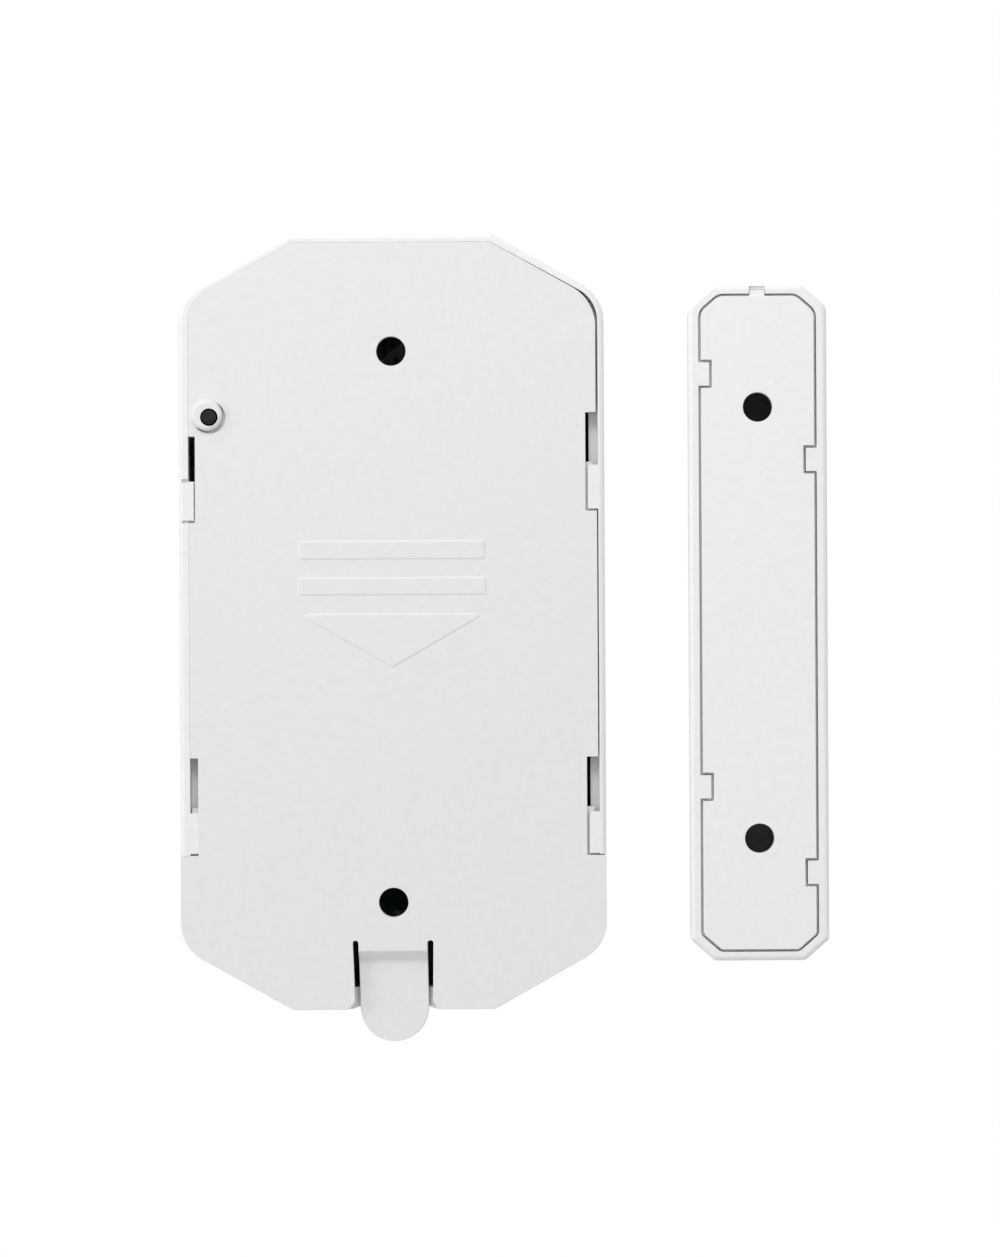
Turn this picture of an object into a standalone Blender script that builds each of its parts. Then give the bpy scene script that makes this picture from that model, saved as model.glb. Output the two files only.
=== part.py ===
"""Wireless door contact sensor: a transmitter on its slide-off wall plate, and the magnet unit beside it.

Metres, +Z up. The plane y = 0 is the wall and the room is towards -Y, so the fixing holes face +Y.
The origin is the centre of the transmitter's outline, on the wall. Outlines are lists of (x, z).
"""

import math

import bmesh
import bpy
from mathutils import Matrix, Vector

# Transmitter case: a tall octagon with rounded shoulders.
HALF_WIDTH = 0.0213
HALF_HEIGHT = 0.0388
END_HALF_WIDTH = 0.0101
SHOULDER_Z = 0.0325
SHOULDER_RADIUS = 0.0042
END_RADIUS = 0.0008
DEPTH = 0.018
WALL = 0.0013
FRONT_WALL = 0.0015
DRAFT = 0.0006
FRONT_ROUNDING = 0.0016
REAR_EDGE_Y = -0.0001

# Fits between mouldings.
RIM = 0.00065
SEAM = 0.0002
TOP_RIM_EXTRA = 0.0002
GAP = 0.0003
MATED_GAP = 0.0002

# Mounting plate, and the hooks of the case that slide over its ledges.
PLATE_THICK = 0.0016
RIM_END_Z = -0.02335
LEDGE_TOP_Y = -0.0010
NOTCH_X = 0.0195
HOOK_THICK = 0.00065
# Side, top of the hook, foot of the hook, top of the open slot above it.
HOOKS = (
    (-1, 0.0157, 0.0113, 0.0209),
    (1, 0.0141, 0.0101, 0.01875),
    (-1, -0.0189, -0.0233, -0.0135),
    (1, -0.0189, -0.0233, -0.0135),
)
SCREW_HOLE_RADIUS = 0.001475
PLATE_HOLE_Z = (0.02705, -0.0281)

# Direction mark on the plate's back: two bars over a triangle that points down.
MARK_HEIGHT = 0.00028
MARK_BARS = ((0.0092, 0.00633, 0.0080), (0.0093, 0.00275, 0.00433))
MARK_TRIANGLE = (0.0090, 0.0007, -0.0045)

# Release tab: a tongue on a thin hinge at its top, which dips away from the wall.
TAB_HALF_WIDTH = 0.0034
TAB_SLOT = 0.0006
TAB_HINGE_Z = -0.0319
TAB_END_Z = -0.03865
TAB_DIP = 0.0011
TAB_THICK = 0.0012
TAB_ROOT_THICK = 0.0013
TAB_BEND_Z = (-0.03255, -0.0341)
CATCH_Z = (-0.0364, -0.0356)
CATCH_HEIGHT = 0.00035
CATCH_HALF_WIDTH = 0.0026

# Tamper pin through its collar, and the switch that it presses.
PIN_X = 0.0182
PIN_Z = 0.0205
PIN_RADIUS = 0.00072
PIN_TIP_Y = 0.0008
PIN_FOOT_Y = -0.0088
COLLAR_RADII = (0.0017, 0.0013)
COLLAR_HEIGHT = 0.0005
COLLAR_BORE = 0.00087
GUIDE_RADIUS = 0.0015
GUIDE_END_Y = -0.0034
SWITCH_X = 0.0171
SWITCH_TOP_Y = -0.0099
BUTTON_RADIUS = 0.0006
BUTTON_Y = (-0.0109, -0.0090)

# Circuit board inside the front of the case.
BOARD_REAR_Y = -0.0140
BOARD_FRONT_Y = -0.0152
BOARD_CLEARANCE = 0.00035
BOARD_SCREWS = ((-0.015, 0.029), (0.015, 0.029), (-0.015, -0.029), (0.015, -0.029))
BOSS_RADIUS = 0.0020
LED_Z = 0.030
LENS_RADIUS = 0.00145

# A 12 V cell of 10.3 by 28.5 mm lying along Z.
BATTERY_RADIUS = 0.00515
BATTERY_Y = -0.0084
BATTERY_Z = (-0.01425, 0.0136)

BATTERY_EDGE = 0.00025
BATTERY_CAP_HEIGHT = 0.0006
CONTACT_HALF_WIDTH = 0.0042
CONTACT_THICK = 0.0004
CONTACT_Z = (0.01475, -0.0194)
SPRING_Z = (-0.01855, -0.01470)
SPRING_RADII = (0.0034, 0.0024)
SPRING_TURNS = 3.25

# Reed switch along Z beside the magnet: a fixed blade below, and a thinner one that swings to it.
REED_X = -0.0174
REED_Y = -0.0124
REED_LEAD_RADIUS = 0.00025
REED_GLASS_HALF = 0.0070
REED_LEAD_END_Z = 0.0102
REED_BLADE_HALF_DEPTH = 0.00035
REED_BLADE_HINGE_Z = 0.0052

# Parts on the rear of the board.
SOLDER_Y = BOARD_REAR_Y + MATED_GAP
FIXTURE_HOLE = (-0.00055, 0.0263, 0.00045)
# Low corner and high corner in (x, z), and height.
ENCODER_CHIP = ((0.0084, -0.0140), (0.0124, -0.0040), 0.0016)
TRANSISTOR = ((-0.0115, 0.0155), (-0.0086, 0.0169), 0.0010)
RESONATOR_PLACE = (-0.0105, 0.0070)
CAPACITOR_PLACE = (0.0110, 0.0060)
COIL_Z = 0.0335
COIL_HALF_LENGTH = 0.0070
COIL_RADIUS = 0.0018
COIL_WIRE_RADIUS = 0.0003
COIL_TURNS = 7
SMALL_PART_HALF = (0.0010, 0.000625)
SMALL_PART_TOP_Z = -0.0060
SMALL_PART_PITCH = 0.0030

# Magnet unit.
MAGNET_X = -0.03665
MAGNET_Z = -0.0003
CASE_HALF = (0.006925, 0.0338)
CASE_CHAMFER = (0.0024, 0.0021)
COVER_HALF = (0.00565, 0.032675)
COVER_CHAMFER = (0.0018, 0.00156)
CASE_DEPTH = 0.0145
CASE_DRAFT = 0.0004
CASE_WALL = 0.0016
COVER_HOLE_Z = (0.02157, -0.02157)
LUG_LENGTH = 0.00283
LUG_DEPTH = 0.00085
# Side and height of each lug of the case that stands in a notch of the cover.
LUGS = ((1, 0.0249), (1, -0.0164), (-1, 0.0163), (-1, -0.0250))
PRY_HALF_WIDTH = 0.0008
MAGNET_SIZE = (0.0080, 0.0058, 0.0400)
MAGNET_CENTRE_Z = 0.0060
PAD_THICK = 0.0005

# The alignment line cut in each case's side, where the two sides face each other.
LINE_HALF_WIDTH = 0.0003
LINE_DEPTH = 0.0007


def start_scene():
    """Clears the scene, and makes the collection of parts and the collection of cutters."""
    for obj in list(bpy.data.objects):
        bpy.data.objects.remove(obj, do_unlink=True)
    for name in ("door_contact_sensor", "cutters"):
        bpy.context.scene.collection.children.link(bpy.data.collections.new(name))


def finish(name, colour, roughness, metallic=0.0, alpha=1.0):
    """A plain Principled material, made once for each name."""
    found = bpy.data.materials.get(name)
    if found:
        return found
    made = bpy.data.materials.new(name)
    made.use_nodes = True
    shader = made.node_tree.nodes["Principled BSDF"]
    shader.inputs["Base Color"].default_value = (*colour, 1.0)
    shader.inputs["Roughness"].default_value = roughness
    shader.inputs["Metallic"].default_value = metallic
    shader.inputs["Alpha"].default_value = alpha
    return made


def white_abs():
    return finish("white_abs", (0.83, 0.83, 0.82), 0.45)


def black_plastic():
    return finish("black_plastic", (0.02, 0.02, 0.022), 0.4)


def plated_steel():
    return finish("plated_steel", (0.62, 0.62, 0.6), 0.3, 1.0)


# ---- Outlines ----


def octagon(half_width, half_height, end_half_width, shoulder_z, shoulder_round, end_round):
    """Corners (x, z, radius, steps) of a tall octagon, anticlockwise with x right and z up."""
    right = [
        (end_half_width, -half_height, *end_round),
        (half_width, -shoulder_z, *shoulder_round),
        (half_width, shoulder_z, *shoulder_round),
        (end_half_width, half_height, *end_round),
    ]
    left = [(-x, z, radius, steps) for x, z, radius, steps in reversed(right)]
    return right + left


def case_corners(half_height=HALF_HEIGHT):
    return octagon(
        HALF_WIDTH, half_height, END_HALF_WIDTH, SHOULDER_Z, (SHOULDER_RADIUS, 5), (END_RADIUS, 2)
    )


def chamfered(half, chamfer):
    """Corners of a rectangle with its four corners cut off and slightly eased."""
    eased = (0.0006, 2)
    return octagon(half[0], half[1], half[0] - chamfer[0], half[1] - chamfer[1], eased, eased)


def inset(corners, distance):
    """The corners with every edge moved inwards, and the radii shortened to suit."""
    moved = []
    for i, (x, z, radius, steps) in enumerate(corners):
        here = Vector((x, z))
        before = Vector(corners[i - 1][:2])
        after = Vector(corners[(i + 1) % len(corners)][:2])
        a = (here - before).normalized().orthogonal()
        b = (after - here).normalized().orthogonal()
        place = here + (a + b) * distance / (1 + a.dot(b))
        moved.append((place.x, place.y, max(radius - distance, 0.0002), steps))
    return moved


def rounded(corners, shift=(0, 0)):
    """The outline through the corners, with an arc at each corner that has a radius."""
    outline = []
    for i, (x, z, radius, steps) in enumerate(corners):
        here = Vector((x, z))
        arriving = (here - Vector(corners[i - 1][:2])).normalized()
        leaving = (Vector(corners[(i + 1) % len(corners)][:2]) - here).normalized()
        turn = math.atan2(arriving.x * leaving.y - arriving.y * leaving.x, arriving.dot(leaving))
        start = here - arriving * radius * math.tan(abs(turn) / 2)
        centre = start + arriving.orthogonal() * math.copysign(radius, turn)
        for step in range(steps + 1):
            point = centre + Matrix.Rotation(turn * step / max(steps, 1), 2) @ (start - centre)
            outline.append((point.x + shift[0], point.y + shift[1]))
    return outline


def square(x, z):
    """A corner with no radius."""
    return (x, z, 0.0, 0)


# ---- Meshes ----

FACING_Y = Matrix.Rotation(math.pi / 2, 4, "X")
FACING_X = Matrix(((0, 0, 1, 0), (1, 0, 0, 0), (0, 1, 0, 0), (0, 0, 0, 1)))
ALONG_Y = Matrix.Rotation(-math.pi / 2, 4, "X")


def mesh_of_form(form):
    """Turns a bmesh into a mesh whose faces point out."""
    bmesh.ops.recalc_face_normals(form, faces=form.faces)
    mesh = bpy.data.meshes.new("form")
    form.to_mesh(mesh)
    form.free()
    return mesh


def mesh_of_curve(curve, matrix):
    """The curve as a welded mesh in the place that the matrix gives, with the curve removed."""
    drawn = bpy.data.objects.new("drawn", curve)
    bpy.context.scene.collection.objects.link(drawn)
    graph = bpy.context.evaluated_depsgraph_get()
    form = bmesh.new()
    form.from_mesh(bpy.data.meshes.new_from_object(drawn.evaluated_get(graph)))
    bmesh.ops.remove_doubles(form, verts=form.verts, dist=0.000001)
    bmesh.ops.transform(form, matrix=matrix, verts=form.verts)
    bpy.data.objects.remove(drawn)
    bpy.data.curves.remove(curve)
    return mesh_of_form(form)


def flat(outline, low, high, facing=FACING_Y):
    """An outline given thickness: (x, z) points from y = low to high, or (y, z) ones along X."""
    curve = bpy.data.curves.new("outline", "CURVE")
    curve.dimensions = "2D"
    curve.fill_mode = "BOTH"
    curve.extrude = (high - low) / 2
    spline = curve.splines.new("POLY")
    spline.points.add(len(outline) - 1)
    for point, (across, up) in zip(spline.points, outline):
        point.co = (across, up, 0, 1)
    spline.use_cyclic_u = True
    middle = (low + high) / 2
    place = (0, middle, 0) if facing is FACING_Y else (middle, 0, 0)
    return mesh_of_curve(curve, Matrix.Translation(place) @ facing)


def wire(points, radius):
    """A round wire with capped ends along a list of (x, y, z)."""
    curve = bpy.data.curves.new("wire", "CURVE")
    curve.dimensions = "3D"
    curve.bevel_depth = radius
    curve.bevel_resolution = 2
    curve.use_fill_caps = True
    spline = curve.splines.new("POLY")
    spline.points.add(len(points) - 1)
    for point, place in zip(spline.points, points):
        point.co = (*place, 1)
    return mesh_of_curve(curve, Matrix())


def loft(sections):
    """One closed solid through outlines at several depths, each given as (y, outline)."""
    form = bmesh.new()
    rings = [[form.verts.new((x, y, z)) for x, z in outline] for y, outline in sections]
    for near, far in zip(rings, rings[1:]):
        for i, corner in enumerate(near):
            form.faces.new((near[i - 1], corner, far[i], far[i - 1]))
    form.faces.new(rings[0])
    form.faces.new(rings[-1])
    return mesh_of_form(form)


def block(low, high):
    """A box between two corners."""
    low, high = Vector(low), Vector(high)
    form = bmesh.new()
    size = Matrix.Diagonal((*(high - low), 1))
    bmesh.ops.create_cube(form, size=1, matrix=Matrix.Translation((low + high) / 2) @ size)
    return mesh_of_form(form)


def rod(x, z, y_front, y_rear, front_radius, rear_radius=None, sides=24):
    """A cylinder or cone along Y."""
    form = bmesh.new()
    bmesh.ops.create_cone(
        form,
        cap_ends=True,
        segments=sides,
        radius1=front_radius,
        radius2=rear_radius or front_radius,
        depth=y_rear - y_front,
        matrix=Matrix.Translation((x, (y_front + y_rear) / 2, z)) @ ALONG_Y,
    )
    return mesh_of_form(form)


# ---- Objects ----


def part(name, mesh, look):
    """A visible sub-part of the sensor."""
    mesh.name = name
    obj = bpy.data.objects.new(name, mesh)
    obj.data.materials.append(look)
    bpy.data.collections["door_contact_sensor"].objects.link(obj)
    return obj


def combine(target, mesh, operation):
    """Cuts the mesh out of the target, adds it to the target, or keeps what the two share."""
    helper = bpy.data.objects.new(f"{target.name}_{operation.lower()}", mesh)
    helper.hide_render = True
    helper.display_type = "WIRE"
    bpy.data.collections["cutters"].objects.link(helper)
    modifier = target.modifiers.new(helper.name, "BOOLEAN")
    modifier.operation = operation
    modifier.object = helper


def cut(target, mesh):
    combine(target, mesh, "DIFFERENCE")


def add(target, mesh):
    combine(target, mesh, "UNION")


def turned(name, profile, look, place=(0, 0, 0), turn=None, closed=False, sides=24):
    """A turned part. Its profile (radius, height) runs down its outside. A closed one has a bore."""
    mesh = bpy.data.meshes.new(name)
    count = len(profile)
    edges = [(i, i + 1) for i in range(count - 1)] + ([(count - 1, 0)] if closed else [])
    mesh.from_pydata([(radius, 0, height) for radius, height in profile], edges, [])
    obj = part(name, mesh, look)
    obj.matrix_world = Matrix.Translation(place) @ (turn or Matrix())
    screw = obj.modifiers.new("turn", "SCREW")
    screw.axis = "Z"
    screw.steps = screw.render_steps = sides
    screw.use_merge_vertices = True
    screw.merge_threshold = 0.000005
    screw.use_smooth_shade = False
    return obj


def softened(obj, width, segments=1):
    """A bevel on every sharp edge."""
    bevel = obj.modifiers.new("softened", "BEVEL")
    bevel.width = width
    bevel.segments = segments
    bevel.limit_method = "ANGLE"
    bevel.angle_limit = math.radians(40)
    return obj


def hinged(obj, place):
    """Parents the part to an empty on its hinge axis, without moving the part."""
    pivot = bpy.data.objects.new(f"{obj.name}_axis", None)
    pivot.location = place
    pivot.empty_display_size = 0.003
    bpy.data.collections["door_contact_sensor"].objects.link(pivot)
    obj.parent = pivot
    obj.matrix_parent_inverse = Matrix.Translation(place).inverted()


# ---- Wall plate ----


def make_mounting_plate():
    full = case_corners()
    inner = inset(case_corners(HALF_HEIGHT - TOP_RIM_EXTRA), RIM + SEAM)
    step_z = RIM_END_Z - SEAM
    inner_x = inner[2][0]
    corners = [*full[:2], square(HALF_WIDTH, step_z), square(inner_x, step_z), *inner[2:6]]
    corners += [square(-inner_x, step_z), square(-HALF_WIDTH, step_z), *full[6:]]
    plate = part("mounting_plate", flat(rounded(corners), -PLATE_THICK, 0), white_abs())
    for half_width, low_z, high_z in MARK_BARS:
        add(plate, block((-half_width, -0.0004, low_z), (half_width, MARK_HEIGHT, high_z)))
    half_width, top_z, tip_z = MARK_TRIANGLE
    triangle = [(-half_width, top_z), (0, tip_z), (half_width, top_z)]
    add(plate, flat(triangle, -0.0004, MARK_HEIGHT))
    add(plate, rod(PIN_X, PIN_Z, 0, COLLAR_HEIGHT, *COLLAR_RADII, sides=32))
    add(plate, rod(PIN_X, PIN_Z, GUIDE_END_Y, -0.0012, GUIDE_RADIUS))
    cut(plate, rod(PIN_X, PIN_Z, -0.01, 0.01, COLLAR_BORE))
    for z in PLATE_HOLE_Z:
        cut(plate, rod(0, z, -0.01, 0.01, SCREW_HOLE_RADIUS))
    for side, top, foot, open_top in HOOKS:
        edges = sorted((side * NOTCH_X, side * (HALF_WIDTH + 0.001)))
        cut(plate, block((edges[0], -0.01, top), (edges[1], 0.01, open_top)))
        cut(plate, block((edges[0], LEDGE_TOP_Y, foot - SEAM), (edges[1], 0.01, top + 0.0001)))
    cut(plate, flat(tab_opening(), -0.01, 0.01))
    return plate


def tab_opening():
    """The opening round the release tab: straight slots that flare at the plate's edge."""
    half = TAB_HALF_WIDTH + TAB_SLOT
    flare = half + 0.0006
    beyond = -HALF_HEIGHT - 0.001
    right = [square(flare, beyond), square(flare, -HALF_HEIGHT), square(half, -HALF_HEIGHT + 0.0008)]
    corners = [*right, (half, TAB_HINGE_Z, 0.0003, 3)]
    corners += [(-x, z, radius, steps) for x, z, radius, steps in reversed(corners)]
    return rounded(corners)


def eased(y_from, y_to, z_from, z_to, steps=5):
    """Points (y, z) of a smooth S from one depth to another."""
    points = []
    for step in range(steps + 1):
        along = step / steps
        y = y_from + (y_to - y_from) * (1 - math.cos(math.pi * along)) / 2
        points.append((y, z_from + (z_to - z_from) * along))
    return points


def make_release_tab():
    root_z = TAB_HINGE_Z - MATED_GAP
    bend_top, bend_foot = TAB_BEND_Z
    end_z = TAB_END_Z - TAB_HALF_WIDTH - 0.001
    inner_y = -TAB_DIP - TAB_THICK
    side = [(0, root_z), *eased(0, -TAB_DIP, bend_top, bend_foot), (-TAB_DIP, end_z), (inner_y, end_z)]
    side += eased(inner_y, -TAB_ROOT_THICK, bend_foot - GAP, bend_top - GAP)
    side.append((-TAB_ROOT_THICK, root_z))
    half = TAB_HALF_WIDTH
    tab = part("release_tab", flat(side, -half, half, FACING_X), white_abs())
    round_end = (half, TAB_END_Z - half, half * 0.999, 8)
    plan = [round_end, square(half, 0), square(-half, 0), (-half, *round_end[1:])]
    combine(tab, flat(rounded(plan), -0.005, 0.001), "INTERSECT")
    low = (-CATCH_HALF_WIDTH, inner_y - CATCH_HEIGHT, CATCH_Z[0])
    add(tab, block(low, (CATCH_HALF_WIDTH, inner_y + 0.0004, CATCH_Z[1])))
    hinged(tab, (0, -PLATE_THICK / 2, TAB_HINGE_Z - MATED_GAP / 2))


def make_tamper_pin():
    flange_y = GUIDE_END_Y - 0.0001
    profile = [
        (0, PIN_TIP_Y),
        (PIN_RADIUS - 0.00018, PIN_TIP_Y),
        (PIN_RADIUS, PIN_TIP_Y - 0.00018),
        (PIN_RADIUS, flange_y),
        (0.0012, flange_y),
        (0.0012, flange_y - 0.0007),
        (0.0006, flange_y - 0.0007),
        (0.0006, PIN_FOOT_Y + 0.0008),
        (0.0011, PIN_FOOT_Y + 0.0008),
        (0.0011, PIN_FOOT_Y),
        (0, PIN_FOOT_Y),
    ]
    turned("tamper_pin", profile, black_plastic(), (PIN_X, 0, PIN_Z), ALONG_Y, sides=20)


# ---- Transmitter case ----


def rounded_front(corners, depth, draft, rounding, front_steps=4):
    """Sections of a drafted case from its rear edge to a rounded front."""
    sections = [(REAR_EDGE_Y, rounded(corners))]
    for step in range(front_steps + 1):
        angle = math.pi / 2 * step / front_steps
        inward = draft + rounding * (1 - math.cos(angle))
        y = -depth + rounding * (1 - math.sin(angle))
        sections.append((y, rounded(inset(corners, inward))))
    return sections


def make_front_housing():
    corners = case_corners()
    outer = rounded_front(corners, DEPTH, DRAFT, FRONT_ROUNDING)
    case = part("front_housing", loft(outer), white_abs())
    floor_y = -DEPTH + FRONT_WALL
    hollow = [
        (0.001, rounded(inset(corners, WALL))),
        (floor_y + 0.0008, rounded(inset(corners, WALL + DRAFT * 0.85))),
        (floor_y, rounded(inset(corners, WALL + DRAFT * 0.85 + 0.0008))),
    ]
    cut(case, loft(hollow))
    shelf_y = -PLATE_THICK - GAP
    recess = inset(case_corners(HALF_HEIGHT - TOP_RIM_EXTRA), RIM)
    cut(case, flat(rounded(recess), shelf_y, 0.001))
    beyond = 0.03
    cut(case, block((-beyond, shelf_y, -2 * beyond), (beyond, 0.001, RIM_END_Z)))
    for side, top, foot, _ in HOOKS:
        edges = sorted((side * (NOTCH_X + SEAM), side * (HALF_WIDTH - 0.0003)))
        low = (edges[0], REAR_EDGE_Y - HOOK_THICK, foot)
        add(case, block(low, (edges[1], REAR_EDGE_Y - 0.00002, top)))
    for x, z in BOARD_SCREWS:
        add(case, rod(x, z, floor_y - 0.0003, BOARD_FRONT_Y - MATED_GAP, BOSS_RADIUS))
        cut(case, rod(x, z, floor_y - 0.0007, 0, 0.00115, sides=16))
    notch_floor_y = -TAB_DIP - TAB_THICK - CATCH_HEIGHT - GAP
    notch_half = TAB_HALF_WIDTH + GAP
    cut(case, block((-notch_half, notch_floor_y, -0.045), (notch_half, 0.001, -0.036)))
    cut(case, rod(0, LED_Z, -0.02, -0.01, LENS_RADIUS + 0.0001))
    low = (-HALF_WIDTH - 0.001, -0.0130, -LINE_HALF_WIDTH)
    cut(case, block(low, (-HALF_WIDTH + LINE_DEPTH, -0.0050, LINE_HALF_WIDTH)))


def make_led_window():
    rear_y = -DEPTH + FRONT_WALL + 0.00045
    profile = [
        (0, rear_y),
        (0.0020, rear_y),
        (0.0020, rear_y - 0.00035),
        (LENS_RADIUS, rear_y - 0.00035),
        (LENS_RADIUS, -DEPTH),
        (LENS_RADIUS * 0.7, -DEPTH - 0.00012),
        (0, -DEPTH - 0.00018),
    ]
    look = finish("smoked_lens", (0.55, 0.12, 0.1), 0.12)
    turned("led_window", profile, look, (0, 0, LED_Z), ALONG_Y)


# ---- Circuit board and what it carries ----


def make_circuit_board():
    edge = inset(case_corners(), WALL + DRAFT * 0.85 + BOARD_CLEARANCE)
    look = finish("green_laminate", (0.03, 0.16, 0.07), 0.4)
    board = part("circuit_board", flat(rounded(edge), BOARD_FRONT_Y, BOARD_REAR_Y), look)
    for x, z in BOARD_SCREWS:
        cut(board, rod(x, z, -0.02, -0.01, 0.0012, sides=16))
    x, z, radius = FIXTURE_HOLE
    cut(board, rod(x, z, -0.02, -0.01, radius, sides=12))


def make_board_screws():
    top_y = BOARD_REAR_Y + 0.0014
    under_y = BOARD_REAR_Y + MATED_GAP
    tip_y = -DEPTH + FRONT_WALL - 0.0005
    profile = [
        (0, top_y),
        (0.0013, top_y),
        (0.0019, top_y - 0.0006),
        (0.0019, under_y),
        (0.0010, under_y),
        (0.0010, tip_y + 0.0006),
        (0.0003, tip_y),
        (0, tip_y),
    ]
    for i, (x, z) in enumerate(BOARD_SCREWS, start=1):
        turned(f"board_screw_{i}", profile, plated_steel(), (x, 0, z), ALONG_Y, sides=16)


def make_battery():
    low, high = BATTERY_Z
    edge = BATTERY_EDGE
    body = [
        (0, high),
        (BATTERY_RADIUS - edge, high),
        (BATTERY_RADIUS, high - edge),
        (BATTERY_RADIUS, low + edge),
        (BATTERY_RADIUS - edge, low),
        (0, low),
    ]
    look = finish("battery_sleeve", (0.05, 0.06, 0.08), 0.35)
    turned("battery_cell", body, look, (0, BATTERY_Y, 0), sides=32)
    foot = high + 0.00005
    top = foot + BATTERY_CAP_HEIGHT
    cap = [(0, top), (0.0024, top), (0.0026, top - 0.0002), (0.0026, foot), (0, foot)]
    turned("battery_positive_cap", cap, plated_steel(), (0, BATTERY_Y, 0))


def make_battery_contacts():
    half = CONTACT_HALF_WIDTH
    for name, z in zip(("battery_contact_positive", "battery_contact_negative"), CONTACT_Z):
        plate = block((-half, SOLDER_Y, z), (half, BATTERY_Y + half, z + CONTACT_THICK))
        softened(part(name, plate, plated_steel()), 0.0001)
    steps = 13
    points = []
    for step in range(round(SPRING_TURNS * steps) + 1):
        along = step / (SPRING_TURNS * steps)
        angle = 2 * math.pi * step / steps
        radius = SPRING_RADII[0] + (SPRING_RADII[1] - SPRING_RADII[0]) * along
        z = SPRING_Z[0] + (SPRING_Z[1] - SPRING_Z[0]) * along
        points.append((radius * math.cos(angle), BATTERY_Y + radius * math.sin(angle), z))
    part("battery_spring", wire(points, 0.0003), plated_steel())


def make_reed_switch():
    half = REED_GLASS_HALF
    outside = [(0.00045, half), (0.00090, half - 0.0004), (0.00105, half - 0.0010)]
    inside = [(0.00032, half), (0.00032, half - 0.0006), (0.00078, half - 0.0012)]
    profile = outside + [(r, -z) for r, z in reversed(outside)]
    profile += [(r, -z) for r, z in inside] + list(reversed(inside))
    glass = finish("reed_glass", (0.65, 0.8, 0.7), 0.05, 0.0, 0.4)
    turned("reed_glass", profile, glass, (REED_X, REED_Y, 0), closed=True, sides=16)
    for name, side in (("reed_lead_lower", -1), ("reed_lead_upper", 1)):
        end = side * REED_LEAD_END_Z
        route = [
            (REED_X, SOLDER_Y, end),
            (REED_X, REED_Y - 0.0004, end),
            (REED_X, REED_Y, end - side * 0.0004),
            (REED_X, REED_Y, end - side * 0.0048),
        ]
        lead = part(name, wire(route, REED_LEAD_RADIUS), plated_steel())
        if side < 0:
            low = (REED_X - 0.00030, REED_Y - REED_BLADE_HALF_DEPTH, -0.0057)
            add(lead, block(low, (REED_X - 0.00012, REED_Y + REED_BLADE_HALF_DEPTH, 0.0010)))
    low = (REED_X + 0.00008, REED_Y - REED_BLADE_HALF_DEPTH, -0.0010)
    high = (REED_X + 0.00026, REED_Y + REED_BLADE_HALF_DEPTH, REED_BLADE_HINGE_Z)
    blade = part("reed_blade", block(low, high), plated_steel())
    hinged(blade, (REED_X + 0.00017, REED_Y, REED_BLADE_HINGE_Z))


def make_tamper_switch():
    x, z = SWITCH_X, PIN_Z
    half_x, half_z = 0.0016, 0.0030
    shape = block((x - half_x, SOLDER_Y, z - half_z), (x + half_x, SWITCH_TOP_Y, z + half_z))
    body = part("tamper_switch_body", shape, black_plastic())
    cut(body, rod(x, z, SWITCH_TOP_Y - 0.0018, 0, BUTTON_RADIUS + 0.0001, sides=16))
    look = finish("button_white", (0.7, 0.7, 0.68), 0.5)
    part("tamper_switch_button", rod(x, z, *BUTTON_Y, BUTTON_RADIUS, sides=16), look)


def make_radio_parts():
    """The encoder, the transistor, the resonator can and the capacitor beside the cell."""
    face = SOLDER_Y
    for name, package in (("encoder_chip", ENCODER_CHIP), ("rf_transistor", TRANSISTOR)):
        (low_x, low_z), (high_x, high_z), height = package
        shape = block((low_x, face, low_z), (high_x, face + height, high_z))
        softened(part(name, shape, black_plastic()), 0.0001)
    can = [
        (0, face + 0.0032),
        (0.0041, face + 0.0032),
        (0.0044, face + 0.0029),
        (0.0044, face + 0.0004),
        (0.0047, face + 0.0004),
        (0.0047, face),
        (0, face),
    ]
    x, z = RESONATOR_PLACE
    turned("saw_resonator", can, plated_steel(), (x, 0, z), ALONG_Y)
    sleeve = [
        (0, face + 0.0062),
        (0.0022, face + 0.0062),
        (0.0025, face + 0.0059),
        (0.0025, face + 0.0003),
        (0.0023, face),
        (0, face),
    ]
    look = finish("capacitor_sleeve", (0.03, 0.04, 0.12), 0.4)
    x, z = CAPACITOR_PLACE
    turned("electrolytic_capacitor", sleeve, look, (x, 0, z), ALONG_Y)


def make_antenna_coil():
    steps = 12
    centre_y = SOLDER_Y + COIL_RADIUS + 0.0005
    points = [(-COIL_HALF_LENGTH, SOLDER_Y, COIL_Z)]
    for step in range(COIL_TURNS * steps + 1):
        angle = 2 * math.pi * step / steps
        x = -COIL_HALF_LENGTH + 2 * COIL_HALF_LENGTH * step / (COIL_TURNS * steps)
        y = centre_y - COIL_RADIUS * math.cos(angle)
        points.append((x, y, COIL_Z + COIL_RADIUS * math.sin(angle)))
    points.append((COIL_HALF_LENGTH, SOLDER_Y, COIL_Z))
    copper = finish("enamelled_copper", (0.72, 0.32, 0.14), 0.3, 1.0)
    part("antenna_coil", wire(points, COIL_WIRE_RADIUS), copper)


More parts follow.
